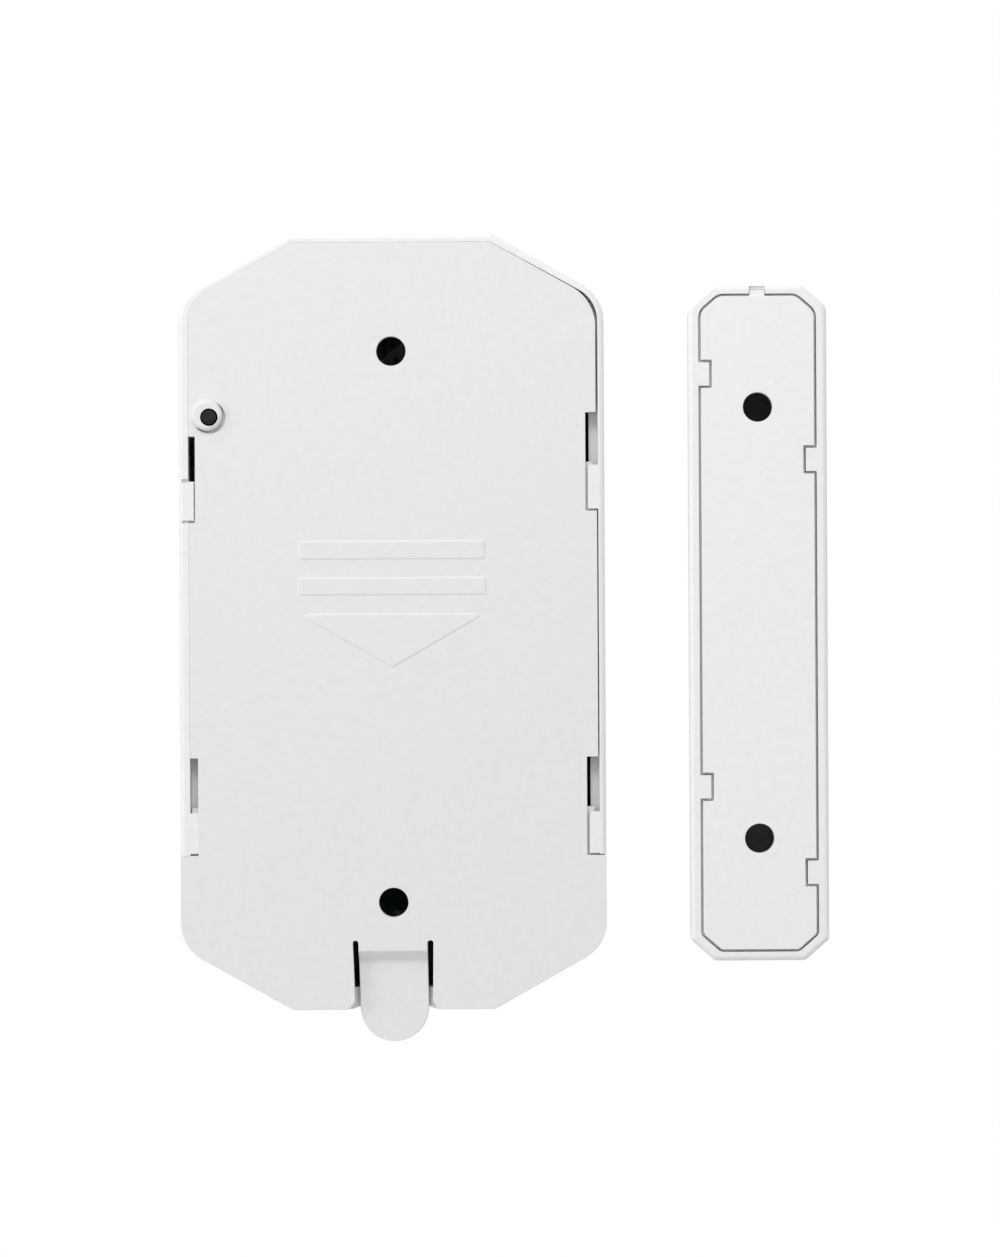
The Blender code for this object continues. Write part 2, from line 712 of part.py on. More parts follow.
def make_small_parts():
    """Chip resistors and capacitors on the back of the board, and the lamp on its front."""
    half_x, half_z = SMALL_PART_HALF
    resistor = finish("resistor_black", (0.03, 0.03, 0.03), 0.5)
    ceramic = finish("ceramic_tan", (0.45, 0.34, 0.22), 0.5)
    rows = [
        ("resistor", 4, -0.0130, 0.0005, resistor),
        ("ceramic_capacitor", 2, -0.0090, 0.0009, ceramic),
    ]
    for name, count, x, height, look in rows:
        for i in range(count):
            z = SMALL_PART_TOP_Z - SMALL_PART_PITCH * i
            low = (x - half_x, SOLDER_Y, z - half_z)
            chip = block(low, (x + half_x, SOLDER_Y + height, z + half_z))
            part(f"{name}_{i + 1}", chip, look)
    front = BOARD_FRONT_Y - 0.00015
    lamp = block((-0.0008, front - 0.0005, LED_Z - 0.0004), (0.0008, front, LED_Z + 0.0004))
    part("status_led", lamp, finish("led_white", (0.8, 0.78, 0.6), 0.3))


# ---- Magnet unit ----


def beside(corners):
    """The outline through the corners, moved to the magnet unit's place."""
    return rounded(corners, (MAGNET_X, MAGNET_Z))


def lug_box(side, z, grow, y_low, y_high):
    """The box of one lug, or of its notch when grown by the seam."""
    reach = sorted((side * (COVER_HALF[0] - LUG_DEPTH - grow), side * (COVER_HALF[0] + 0.0006)))
    half = LUG_LENGTH / 2 + grow - SEAM
    low = (MAGNET_X + reach[0], y_low, MAGNET_Z + z - half)
    return block(low, (MAGNET_X + reach[1], y_high, MAGNET_Z + z + half))


def make_magnet_case():
    corners = chamfered(CASE_HALF, CASE_CHAMFER)
    outer = rounded_front(corners, CASE_DEPTH, CASE_DRAFT, 0.0010, 3)
    outer = [(y, [(x + MAGNET_X, z + MAGNET_Z) for x, z in outline]) for y, outline in outer]
    case = part("magnet_case", loft(outer), white_abs())
    floor_y = -CASE_DEPTH + WALL
    mouth = beside(inset(corners, CASE_WALL))
    floor = beside(inset(corners, CASE_WALL + CASE_DRAFT))
    cut(case, loft([(0.001, mouth), (floor_y, floor)]))
    shelf_y = -PLATE_THICK - GAP
    recess = inset(chamfered(COVER_HALF, COVER_CHAMFER), -SEAM)
    cut(case, flat(beside(recess), shelf_y, 0.001))
    for side, z in LUGS:
        add(case, lug_box(side, z, 0, shelf_y - 0.0004, REAR_EDGE_Y - 0.00002))
    half = PRY_HALF_WIDTH
    top = MAGNET_Z + COVER_HALF[1]
    cut(case, block((MAGNET_X - half, shelf_y, top - 0.001), (MAGNET_X + half, 0.001, top + 0.0010)))
    side_x = MAGNET_X + CASE_HALF[0]
    low = (side_x - LINE_DEPTH, -0.0115, -LINE_HALF_WIDTH)
    cut(case, block(low, (side_x + 0.001, -0.0040, LINE_HALF_WIDTH)))


def make_magnet_cover():
    outline = beside(chamfered(COVER_HALF, COVER_CHAMFER))
    cover = part("magnet_cover", flat(outline, -PLATE_THICK, 0), white_abs())
    for side, z in LUGS:
        cut(cover, lug_box(side, z, SEAM, -0.01, 0.01))
    half = PRY_HALF_WIDTH - SEAM
    top = MAGNET_Z + COVER_HALF[1]
    low = (MAGNET_X - half, -PLATE_THICK + 0.00005, top - 0.0004)
    add(cover, block(low, (MAGNET_X + half, -0.0006, top + 0.0007)))
    for z in COVER_HOLE_Z:
        cut(cover, rod(MAGNET_X, MAGNET_Z + z, -0.01, 0.01, SCREW_HOLE_RADIUS))


def make_bar_magnet():
    half_x, half_z = MAGNET_SIZE[0] / 2, MAGNET_SIZE[2] / 2
    centre_z = MAGNET_Z + MAGNET_CENTRE_Z
    pad_front = -CASE_DEPTH + WALL + MATED_GAP
    magnet_front = pad_front + PAD_THICK + MATED_GAP
    low = (MAGNET_X - half_x, magnet_front, centre_z - half_z)
    high = (MAGNET_X + half_x, magnet_front + MAGNET_SIZE[1], centre_z + half_z)
    look = finish("ferrite", (0.07, 0.07, 0.075), 0.55)
    softened(part("bar_magnet", block(low, high), look), 0.0004)
    foam = finish("foam_tape", (0.75, 0.75, 0.72), 0.9)
    low = (low[0] + 0.0005, pad_front, low[2] + 0.001)
    pad = block(low, (high[0] - 0.0005, pad_front + PAD_THICK, high[2] - 0.001))
    part("magnet_adhesive_pad", pad, foam)


def main():
    start_scene()
    make_mounting_plate()
    make_release_tab()
    make_tamper_pin()
    make_front_housing()
    make_led_window()
    make_circuit_board()
    make_board_screws()
    make_battery()
    make_battery_contacts()
    make_reed_switch()
    make_tamper_switch()
    make_radio_parts()
    make_antenna_coil()
    make_small_parts()
    make_magnet_case()
    make_magnet_cover()
    make_bar_magnet()


main()
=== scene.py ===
"""Looks for the wireless door contact sensor: fine shells, materials, light and camera round the frame.

Lengths are in millimetres, and a mesh is scaled to the frame's metres when it becomes a piece.
Outlines are lists of (x, z), seen from the wall side, and depth is y: 0 is the wall, -y the room.
"""

import math
from typing import NamedTuple

import bmesh
import bpy
from mathutils import Matrix, Vector


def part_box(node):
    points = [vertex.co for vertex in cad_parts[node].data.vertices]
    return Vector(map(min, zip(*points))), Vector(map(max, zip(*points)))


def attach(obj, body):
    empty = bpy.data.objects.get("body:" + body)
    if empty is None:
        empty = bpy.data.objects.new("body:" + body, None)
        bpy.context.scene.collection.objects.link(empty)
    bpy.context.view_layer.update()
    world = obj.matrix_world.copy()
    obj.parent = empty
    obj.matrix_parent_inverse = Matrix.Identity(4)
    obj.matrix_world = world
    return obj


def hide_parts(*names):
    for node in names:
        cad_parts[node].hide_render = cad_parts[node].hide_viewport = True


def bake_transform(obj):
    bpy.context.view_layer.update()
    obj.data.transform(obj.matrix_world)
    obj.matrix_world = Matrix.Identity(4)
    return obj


MM = 0.001

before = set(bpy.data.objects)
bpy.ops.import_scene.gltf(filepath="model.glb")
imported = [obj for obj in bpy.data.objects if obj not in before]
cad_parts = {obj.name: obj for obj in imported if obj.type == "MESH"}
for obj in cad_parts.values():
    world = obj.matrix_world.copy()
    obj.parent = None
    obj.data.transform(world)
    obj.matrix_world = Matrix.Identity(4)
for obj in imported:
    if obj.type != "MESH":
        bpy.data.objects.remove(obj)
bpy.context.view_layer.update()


class Box:
    """The box round a CAD node, in millimetres: its corners, its middle and half its size."""

    def __init__(self, name):
        self.low, self.high = (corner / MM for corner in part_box(name))
        ends = list(zip(self.low, self.high))
        self.mid_x, self.mid_y, self.mid_z = ((low + high) / 2 for low, high in ends)
        self.half_x, self.half_y, self.half_z = ((high - low) / 2 for low, high in ends)


# ---- Driving sizes, from the frame ----

case = Box("front_housing")
HALF_WIDTH = case.high.x
HALF_HEIGHT = case.high.z
DEPTH = -case.low.y
REAR_Y = case.high.y

magnet = Box("magnet_case")
cover = Box("magnet_cover")
MAGNET_PLACE = (magnet.mid_x, magnet.mid_z)
MAGNET_HALF = (magnet.half_x, magnet.half_z)
MAGNET_DEPTH = -magnet.low.y
COVER_HALF = (cover.half_x, magnet.mid_z - cover.low.z)
COVER_THICK = -cover.low.y

tab = Box("release_tab")
TAB_HALF_WIDTH = tab.high.x
TAB_TIP_Z = tab.low.z

pin = Box("tamper_pin")
PIN_PLACE = (pin.mid_x, pin.mid_z)

lens = Box("led_window")
board = Box("circuit_board")
cell = Box("battery_cell")

# ---- Case of the transmitter ----

END_HALF_WIDTH = 10.1
SHOULDER_Z = 32.5
SHOULDER_RADIUS = 4.2
END_RADIUS = 0.8
WALL = 1.3
FRONT_WALL = 1.5
DRAFT = 0.6
INNER_DRAFT = 0.85 * DRAFT
FRONT_ROUNDING = 1.6
FLOOR_ROUNDING = 0.8
REAR_ROUNDING = 0.5
RIM = 0.65
TOP_RIM_EXTRA = 0.2
RIM_END_Z = -23.35
LEFT_RECESS_X = 20.3
SHELF_Y = -1.9
SHELF_THICK = 1.0
SHELF_EXTRA = 0.4
POCKET_X = 19.0
POCKET_Y = -9.0
HOOK_THICK = 0.65
HOOK_EDGE = 0.52
LAMP_HOLE_RADIUS = 1.55
LINE_HALF_WIDTH = 0.3
LINE_DEPTH = 0.7
LINE_Y = (-13.0, -5.0)
NOTCH_Z = (-45.0, -36.0)
NOTCH_CLEARANCE = 0.3
NOTCH_FLOOR_Y = -2.95
LIP_Z = (-38.0, -36.7)
LIP_EXTRA = 1.2
LIP_FRONT_Y = -4.4
BOSS_RADIUS = 2.0
BOSS_BORE = 1.15

# ---- Wall plate ----

PLATE_THICK = 1.6
PLATE_SEAM = 0.015
PLATE_PLAY = (0.19, 0.1)
PLATE_PLAY_Z = 18.0
PLATE_SHOULDER_EXTRA = 1.0
STEP_GAPS = (0.02, 0.1)
STEP_RADIUS = 0.12
LEDGE_Y = -0.75
HOOK_FOOT_GAP = 0.2
LEDGE_NUB_X = 20.15


class Hook(NamedTuple):
    """One hook of the case, the slot above it, and the shelf seen down that slot."""

    side: int
    top: float
    foot: float
    slot_foot: float
    slot_top: float
    notch_x: float
    seam: float
    shelf_x: float


HOOKS = (
    Hook(1, 14.1, 10.15, 14.1, 18.6, 19.66, 0.14, 20.35),
    Hook(-1, 15.6, 11.2, 15.9, 20.85, 19.4, 0.24, 19.74),
    Hook(1, -19.1, -23.15, -18.6, -13.6, 19.5, 0.0, 19.2),
    Hook(-1, -19.1, -23.25, -18.6, -13.6, 19.4, 0.24, 19.76),
)
RIM_GROOVES = ((13.95, 14.35), (9.95, 10.2))
RIM_GROOVE_END_X = 20.98
RIM_GROOVE_DEPTH = 0.35
SCREW_HOLE_RADIUS = 1.475
PLATE_HOLE_Z = (27.05, -28.1)
MARK_HEIGHT = 0.08
MARK_SLOPE = 0.11
MARK_RADIUS = 0.15
MARK_BARS = ((9.2, 6.33, 8.0), (9.3, 2.75, 4.33))
MARK_TRIANGLE = (9.0, 0.7, -4.5)
COLLAR_RADII = (1.55, 1.2)
COLLAR_SHIFT = (0.24, 0.22)
COLLAR_HEIGHT = 0.68
COLLAR_ROOT_Y = -0.9
COLLAR_BORE = 0.87
COLLAR_SEAT = (1.6, 0.6)
GUIDE_RADIUS = 1.5
GUIDE_Y = (-3.4, -1.2)

# ---- Release tab ----

TAB_SEAM_Z = -32.2
TAB_LAP = 0.12
TAB_SLOT_TOP_Z = -31.9
TAB_ROOT = (3.57, 3.36)
TAB_FOOT = (3.37, 3.47)
SLOT_TOP = (4.13, 3.95)
SLOT_FOOT = (3.84, 3.88)
SLOT_ROUND = 0.27
FLARE_HEIGHT = 0.85
FLARE_WIDTHS = (0.75, 0.5)
TAB_DIP = 1.1
TAB_THICK = 1.2
TAB_EDGE = 0.12
TAB_BEND_Z = (-32.85, -34.0)
CATCH_X = 2.6
CATCH_Z = (-36.4, -35.6)
CATCH_HEIGHT = 0.35

# ---- Inside the transmitter ----

SCREWS = range(1, 5)
BOARD_SCREW_X = 15.0
BOARD_SCREW_Z = 29.0
SPRING_TURNS = 3
SPRING_STEPS = 36
SPRING_TAPER = 1.0
ENCODER_LEGS = 7
LEG_PITCH = 1.27
COIL_TURNS = 7
COIL_STEPS = 32
WIRE = 0.3

# ---- Magnet unit ----

MAGNET_CHAMFER = (2.4, 2.1)
COVER_CHAMFER = (1.8, 1.56)
COVER_SEAM = 0.24
COVER_CLOSE = 0.03
COVER_FLANGE_Y = -0.85
PRY_NUB = 0.68
PRY_HALF_WIDTH = 0.8
PRY_NOTCH_Y = -0.55
MAGNET_WALL = 1.6
MAGNET_DRAFT = 0.4
MAGNET_FRONT_ROUNDING = 1.0
MAGNET_LINE_Y = (-11.5, -4.0)
COVER_HOLE_Z = (21.57, -21.57)
LUG_LENGTH = 2.83
LUG_DEPTH = 0.85
LUGS = ((1, 24.9), (1, -16.4), (-1, 16.3), (-1, -25.0))

# ---- Working values: cutters, eased edges, round pieces, and what counts as one place ----

REACH = 10.0
EASED = 0.05
MAGNET_EASED = 0.07
FINE_SIDES = 96
OPEN_Y = 1.0
OVERLAP = 0.2
SAME_PLACE = 1e-4
WELD = 0.0005
LEAST_RADIUS = 0.15

# Light from round about: its mean, and how much more there is of it towards +x, +y and +z.
WORLD_STRENGTH = 0.665
WORLD_SLOPE = (0.06, 0.0, 0.28)


# ---- Outlines ----


def octagon(half_width, half_height, end_half_width, shoulder_z, shoulder_radius, end_radius):
    """Corners (x, z, radius) of a tall octagon, anticlockwise with x right and z up."""
    right = [
        (end_half_width, -half_height, end_radius),
        (half_width, -shoulder_z, shoulder_radius),
        (half_width, shoulder_z, shoulder_radius),
        (end_half_width, half_height, end_radius),
    ]
    return right + [(-x, z, radius) for x, z, radius in reversed(right)]


def case_corners(half_height=HALF_HEIGHT):
    return octagon(HALF_WIDTH, half_height, END_HALF_WIDTH, SHOULDER_Z, SHOULDER_RADIUS, END_RADIUS)


def chamfered(half, chamfer, foot_radius=0.6, top_radius=1.3):
    """Corners of a rectangle with its four corners cut off and eased, more so at the top."""
    corners = octagon(half[0], half[1], half[0] - chamfer[0], half[1] - chamfer[1], 0, 0)
    return [(x, z, top_radius if z > 0 else foot_radius) for x, z, _ in corners]


def inset(corners, distance):
    """The corners with every edge moved inwards, and the radii shortened to suit."""
    moved = []
    for i, (x, z, radius) in enumerate(corners):
        here = Vector((x, z))
        before = Vector(corners[i - 1][:2])
        after = Vector(corners[(i + 1) % len(corners)][:2])
        a = (here - before).normalized().orthogonal()
        b = (after - here).normalized().orthogonal()
        place = here + (a + b) * distance / (1 + a.dot(b))
        moved.append((place.x, place.y, max(radius - distance, LEAST_RADIUS)))
    return moved


def rounded(corners, shift=(0, 0), steps_a_turn=96):
    """The outline through the corners, with an arc at each corner that has a radius."""
    outline = []
    for i, (x, z, radius) in enumerate(corners):
        here = Vector((x, z))
        arriving = (here - Vector(corners[i - 1][:2])).normalized()
        leaving = (Vector(corners[(i + 1) % len(corners)][:2]) - here).normalized()
        turn = math.atan2(arriving.x * leaving.y - arriving.y * leaving.x, arriving.dot(leaving))
        steps = max(2, round(abs(turn) / math.tau * steps_a_turn)) if radius > 0 else 0
        start = here - arriving * radius * math.tan(abs(turn) / 2)
        centre = start + arriving.orthogonal() * math.copysign(radius, turn)
        for step in range(steps + 1):
            point = centre + Matrix.Rotation(turn * step / max(steps, 1), 2) @ (start - centre)
            placed = (point.x + shift[0], point.y + shift[1])
            if not outline or math.dist(outline[-1], placed) > SAME_PLACE:
                outline.append(placed)
    return outline


def circle(x, z, radius, sides=64):
    """A round outline."""
    angles = [math.tau * i / sides for i in range(sides)]
    return [(x + radius * math.cos(a), z + radius * math.sin(a)) for a in angles]


def quarter(steps, first=0):
    """(cosine, sine) at even steps over a quarter turn."""
    angles = [math.pi / 2 * step / steps for step in range(first, steps + 1)]
    return [(math.cos(angle), math.sin(angle)) for angle in angles]


def box_outline(x_a, x_b, z_a, z_b, radius=0.0):
    """A rectangle between two corners given in any order, with its corners eased by the radius."""
    low_x, high_x = sorted((x_a, x_b))
    low_z, high_z = sorted((z_a, z_b))
    corners = [(high_x, low_z), (high_x, high_z), (low_x, high_z), (low_x, low_z)]
    return rounded([(x, z, radius) for x, z in corners])


# ---- Meshes ----


def mesh_of_form(form):
    """Turns a bmesh into a mesh whose faces point out."""
    bmesh.ops.recalc_face_normals(form, faces=form.faces)
    mesh = bpy.data.meshes.new("form")
    form.to_mesh(mesh)
    form.free()
    return mesh


def skinned(rings):
    """One closed solid through rings that have the same number of points."""
    form = bmesh.new()
    rings = [[form.verts.new(point) for point in ring] for ring in rings]
    for near, far in zip(rings, rings[1:]):
        for i, corner in enumerate(near):
            form.faces.new((near[i - 1], corner, far[i], far[i - 1]))
    form.faces.new(rings[0])
    form.faces.new(rings[-1])
    return mesh_of_form(form)


def loft(sections):
    """A solid through outlines at several depths, each given as (y, outline)."""
    return skinned([[(x, y, z) for x, z in outline] for y, outline in sections])


def slab(outline, low_y, high_y):
    """The outline given thickness along y."""
    return loft([(low_y, outline), (high_y, outline)])


def through(outline):
    """A cutter with this outline that reaches past both faces of a plate."""
    return slab(outline, -REACH, REACH)


def cylinder(place, low_y, high_y, radius, sides=64):
    """A cylinder along y through place (x, z)."""
    return slab(circle(*place, radius, sides), low_y, high_y)


def lathe(profile, place, sides=64, closed=False):
    """A turned solid about the y direction through place (x, z), from a profile of (radius, y)."""
    form = bmesh.new()
    rings = []
    for radius, y in profile:
        if radius == 0:
            rings.append([form.verts.new((place[0], y, place[1]))])
        else:
            rings.append([form.verts.new((x, y, z)) for x, z in circle(*place, radius, sides)])
    if closed:
        rings.append(rings[0])
    for near, far in zip(rings, rings[1:]):
        for i in range(sides):
            corners = [near[i - 1], near[i]] if len(near) > 1 else [near[0]]
            corners += [far[i], far[i - 1]] if len(far) > 1 else [far[0]]
            form.faces.new(corners)
    return mesh_of_form(form)


def turned(mesh, matrix):
    """The mesh moved by the matrix, with its faces still pointing out."""
    form = bmesh.new()
    form.from_mesh(mesh)
    form.transform(matrix)
    return mesh_of_form(form)


def upright(profile, x, y, sides=64, closed=False):
    """A solid turned about the z direction through (x, y), from a profile of (radius, z)."""
    place = Matrix.Translation((x, y, 0)) @ Matrix.Rotation(math.pi / 2, 4, "X")
    return turned(lathe(profile, (0, 0), sides, closed), place)


def tube(points, radius, resolution=4):
    """A wire through the points, round or, with resolution 0, square."""
    curve = bpy.data.curves.new("wire", "CURVE")
    curve.dimensions = "3D"
    curve.bevel_depth = radius
    curve.bevel_resolution = resolution
    curve.use_fill_caps = True
    spline = curve.splines.new("POLY")
    spline.points.add(len(points) - 1)
    for point, place in zip(spline.points, points):
        point.co = (*place, 1.0)
    form = bmesh.new()
    form.from_mesh(result_of(shown(curve)))
    bmesh.ops.remove_doubles(form, verts=form.verts, dist=0.001)
    return mesh_of_form(form)


def joined(meshes):
    """Several meshes as one."""
    form = bmesh.new()
    for mesh in meshes:
        form.from_mesh(mesh)
    return mesh_of_form(form)


def shown(data, name="working"):
    """An object in the scene with this mesh, curve, light or camera."""
    obj = bpy.data.objects.new(name, data)
    bpy.context.scene.collection.objects.link(obj)
    return obj


def result_of(obj):
    """The object's mesh with its modifiers applied. The object is removed."""
    graph = bpy.context.evaluated_depsgraph_get()
    mesh = bpy.data.meshes.new_from_object(
        obj.evaluated_get(graph), preserve_all_data_layers=True, depsgraph=graph
    )
    bpy.data.objects.remove(obj)
    return mesh


def cut(*meshes):
    """Steps for carved() that take each mesh away."""
    return [("DIFFERENCE", mesh) for mesh in meshes]


def add(*meshes):
    """Steps for carved() that join each mesh on."""
    return [("UNION", mesh) for mesh in meshes]


def carved(mesh, steps, seam_heights=()):
    """The mesh after a list of (operation, mesh) steps, with the leftover flat cuts dissolved.

    A seam at the height of each hole or raised mark keeps every flat face free of islands.
    """
    snap, flat_within = 0.002, math.radians(0.3)
    target = shown(mesh)
    helpers = [shown(other, "helper") for _, other in steps]
    for (operation, _), helper in zip(steps, helpers):
        modifier = target.modifiers.new("carve", "BOOLEAN")
        modifier.operation = operation
        modifier.solver = "EXACT"
        modifier.object = helper
    made = result_of(target)
    for helper in helpers:
        bpy.data.objects.remove(helper)
    form = bmesh.new()
    form.from_mesh(made)
    bmesh.ops.remove_doubles(form, verts=form.verts, dist=WELD)
    for z in sorted(set(seam_heights)):
        everything = form.verts[:] + form.edges[:] + form.faces[:]
        halved = bmesh.ops.bisect_plane(
            form, geom=everything, dist=snap, plane_co=(0, 0, z), plane_no=(0, 0, 1)
        )
        for found in halved["geom_cut"]:
            if isinstance(found, bmesh.types.BMEdge):
                found.seam = True
    bmesh.ops.dissolve_limit(
        form, angle_limit=flat_within, verts=form.verts, edges=form.edges, delimit={"SEAM"}
    )
    return mesh_of_form(form)


def softened(mesh, width):
    """The mesh with its sharp edges rounded, and its large flats cut into even triangles."""
    obj = shown(mesh)
    bevel = obj.modifiers.new("soften", "BEVEL")
    bevel.width = width
    bevel.segments = 3
    bevel.limit_method = "ANGLE"
    bevel.angle_limit = math.radians(32)
    bevel.use_clamp_overlap = False
    bevel.miter_outer = "MITER_ARC"
    return tidied(result_of(obj))


def tidied(mesh):
    """The mesh with its large flats cut into cells and even triangles, so that none is a sliver."""
    cell_size, snap, degenerate = 6.0, 0.02, 0.0002
    form = bmesh.new()
    form.from_mesh(mesh)
    bmesh.ops.remove_doubles(form, verts=form.verts, dist=WELD)
    for axis in (0, 2):
        places = [vert.co[axis] for vert in form.verts]
        low, length = min(places), max(places) - min(places)
        count = round(length / cell_size)
        for i in range(1, count):
            place, normal = Vector(), Vector()
            place[axis] = low + length * i / count
            normal[axis] = 1.0
            large = [face for face in form.faces if face.calc_area() > cell_size]
            edges = {edge for face in large for edge in face.edges}
            verts = {vert for face in large for vert in face.verts}
            geometry = [*verts, *edges, *large]
            bmesh.ops.bisect_plane(form, geom=geometry, dist=snap, plane_co=place, plane_no=normal)
    many_sided = [face for face in form.faces if len(face.verts) > 4]
    bmesh.ops.triangulate(form, faces=many_sided, quad_method="BEAUTY", ngon_method="BEAUTY")
    bmesh.ops.dissolve_degenerate(form, edges=form.edges, dist=degenerate)
    return mesh_of_form(form)


def smooth(mesh, sharp=40):
    """Smooth shading in which large faces keep their own direction."""
    mesh.shade_smooth()
    mesh.set_sharp_from_angle(angle=math.radians(sharp))
    obj = shown(mesh)
    weighted = obj.modifiers.new("flats", "WEIGHTED_NORMAL")
    weighted.keep_sharp = True
    weighted.weight = 100
    return result_of(obj)


def piece(name, mesh, look, body, replaces=()):
    """A finished piece in the frame's metres, riding on a body if one is given."""
    mesh.transform(Matrix.Scale(MM, 4))
    mesh.name = name
    mesh.materials.clear()
    mesh.materials.append(look)
    obj = shown(mesh, name)
    if body:
        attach(obj, body)
    if replaces:
        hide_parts(*replaces)
    return obj


# ---- Materials ----


def feed(socket, value):
    """Links a socket to another one, or gives it a constant."""
    if isinstance(value, bpy.types.NodeSocket):
        socket.id_data.links.new(value, socket)
    else:
        socket.default_value = value


def new_node(tree, kind, settings=None, **inputs):
    """A new shader node. An input's name has _ for each space in it."""
    made = tree.nodes.new("ShaderNode" + kind)
    for key, value in (settings or {}).items():
        setattr(made, key, value)
    for key, value in inputs.items():
        feed(made.inputs[key.replace("_", " ")], value)
    return made


class Look:
    """A Principled material and the few nodes that the looks here are made of."""

    def __init__(self, name, colour, roughness, metallic=0.0):
        self.material = bpy.data.materials.new(name)
        self.material.use_nodes = True
        self.tree = self.material.node_tree
        self.shader = self.tree.nodes["Principled BSDF"]
        self.set("Base Color", (*colour, 1.0))
        self.set("Roughness", roughness)
        self.set("Metallic", metallic)
        self.place = self.node("TexCoord").outputs["Object"]

    def set(self, name, value):
        """Gives an input of the shader a link or a constant."""
        feed(self.shader.inputs[name], value)

    def node(self, kind, settings=None, **inputs):
        return new_node(self.tree, kind, settings, **inputs)

    def noise(self, size_mm, detail=2.0, stretch=(1, 1, 1)):
        """Noise with features about this size, as a value from 0 to 1."""
        mapped = self.node("Mapping", Vector=self.place, Scale=stretch).outputs["Vector"]
        scale = 1 / (size_mm * MM)
        return self.node("TexNoise", Vector=mapped, Scale=scale, Detail=detail).outputs["Fac"]

    def ranged(self, value, low, high, from_low=0.0, from_high=1.0):
        """The value mapped on to a range, and kept inside it."""
        made = self.node(
            "MapRange", Value=value, From_Min=from_low, From_Max=from_high, To_Min=low, To_Max=high
        )
        return made.outputs["Result"]

    def contrast(self, value, low, high):
        """The value with everything up to low made 0 and everything from high made 1."""
        return self.ranged(value, 0.0, 1.0, low, high)

    def mixed(self, factor, a, b):
        """One colour turning into another."""
        made = self.node("Mix", {"data_type": "RGBA"})
        sockets = {socket.identifier: socket for socket in (*made.inputs, *made.outputs)}
        feed(sockets["Factor_Float"], factor)
        for name, colour in (("A_Color", a), ("B_Color", b)):
            linked = isinstance(colour, bpy.types.NodeSocket)
            feed(sockets[name], colour if linked else (*colour, 1.0))
        return sockets["Result_Color"]

    def maths(self, operation, a, b=0.0):
        made = self.node("Math", {"operation": operation})
        feed(made.inputs[0], a)
        feed(made.inputs[1], b)
        return made.outputs["Value"]

    def either(self, first, *others):
        """The greatest of several masks."""
        for other in others:
            first = self.maths("MAXIMUM", first, other)
        return first

    def both(self, a, b):
        return self.maths("MULTIPLY", a, b)

    def over(self, a, b):
        return self.maths("GREATER_THAN", a, b)

    def under(self, a, b):
        return self.maths("LESS_THAN", a, b)

    def size(self, a):
        return self.maths("ABSOLUTE", a)

    def within(self, x, z, radius):
        """A mask of the disc about the place where x and z are 0."""
        squared = self.maths("ADD", self.maths("POWER", x, 2.0), self.maths("POWER", z, 2.0))
        return self.under(squared, radius**2)

    def axis(self, name, start=0.0):
        """How far along X, Y or Z the place is from the start, in millimetres."""
        split = self.node("SeparateXYZ", Vector=self.place)
        along = self.maths("MULTIPLY", split.outputs[name], 1 / MM)
        return self.maths("SUBTRACT", along, start) if start else along

    def bump(self, height, depth_mm, strength=1.0):
        """Adds a relief, on top of any added before."""
        made = self.node("Bump", Height=height, Distance=depth_mm * MM, Strength=strength)
        normal = self.shader.inputs["Normal"]
        if normal.links:
            feed(made.inputs["Normal"], normal.links[0].from_socket)
        feed(normal, made.outputs["Normal"])

    def spread(self, a, b, value):
        """Colours the surface from a to b by a value."""
        self.set("Base Color", self.mixed(value, a, b))

    def gloss(self, value, low, high):
        """Makes the roughness go from low to high by a value."""
        self.set("Roughness", self.ranged(value, low, high))


def scaled(colour, factor, more=0.0):
    """A lighter or darker colour, no lighter than white."""
    return tuple(min(1.0, channel * factor + more) for channel in colour)


def spark_eroded_white(name, grey):
    """Moulded white ABS: a fine spark-eroded grain, a faint flow mottle, and slightly uneven gloss."""
    colour = (grey, grey, grey)
    look = Look(name, colour, 0.5)
    look.spread(scaled(colour, 0.975), colour, look.contrast(look.noise(0.9, 3.0), 0.35, 0.65))
    look.gloss(look.noise(2.5), 0.45, 0.56)
    look.bump(look.noise(0.11), 0.006, 0.35)
    look.bump(look.noise(0.8, 3.0), 0.004, 0.25)
    look.set("IOR", 1.5)
    return look.material


def dark_moulding(name, colour):
    """Black acetal or nylon with a dull fine grain."""
    look = Look(name, colour, 0.45)
    look.spread(colour, scaled(colour, 1.6, 0.004), look.contrast(look.noise(0.5, 3.0), 0.4, 0.7))
    look.bump(look.noise(0.08), 0.004, 0.4)
    look.set("Specular IOR Level", 0.25)
    return look.material


def plated_metal(name, colour, roughness=0.28):
    """Plated metal with a fine grain, and patches where the plating has dulled."""
    look = Look(name, colour, roughness, metallic=1.0)
    look.spread(colour, scaled(colour, 0.7), look.contrast(look.noise(0.7, 4.0), 0.5, 0.75))
    look.gloss(look.noise(0.25, 3.0), roughness - 0.08, roughness + 0.15)
    look.bump(look.noise(0.06), 0.003, 0.4)
    return look.material


def red_lens():
    """Tinted clear plastic over the lamp, cloudy enough to hide it."""
    look = Look("tinted_lens", (0.62, 0.02, 0.015), 0.14)
    look.set("Transmission Weight", 0.45)
    look.set("IOR", 1.49)
    cloud = look.noise(0.6)
    look.spread((0.55, 0.015, 0.012), (0.70, 0.035, 0.025), cloud)
    look.gloss(cloud, 0.10, 0.2)
    return look.material


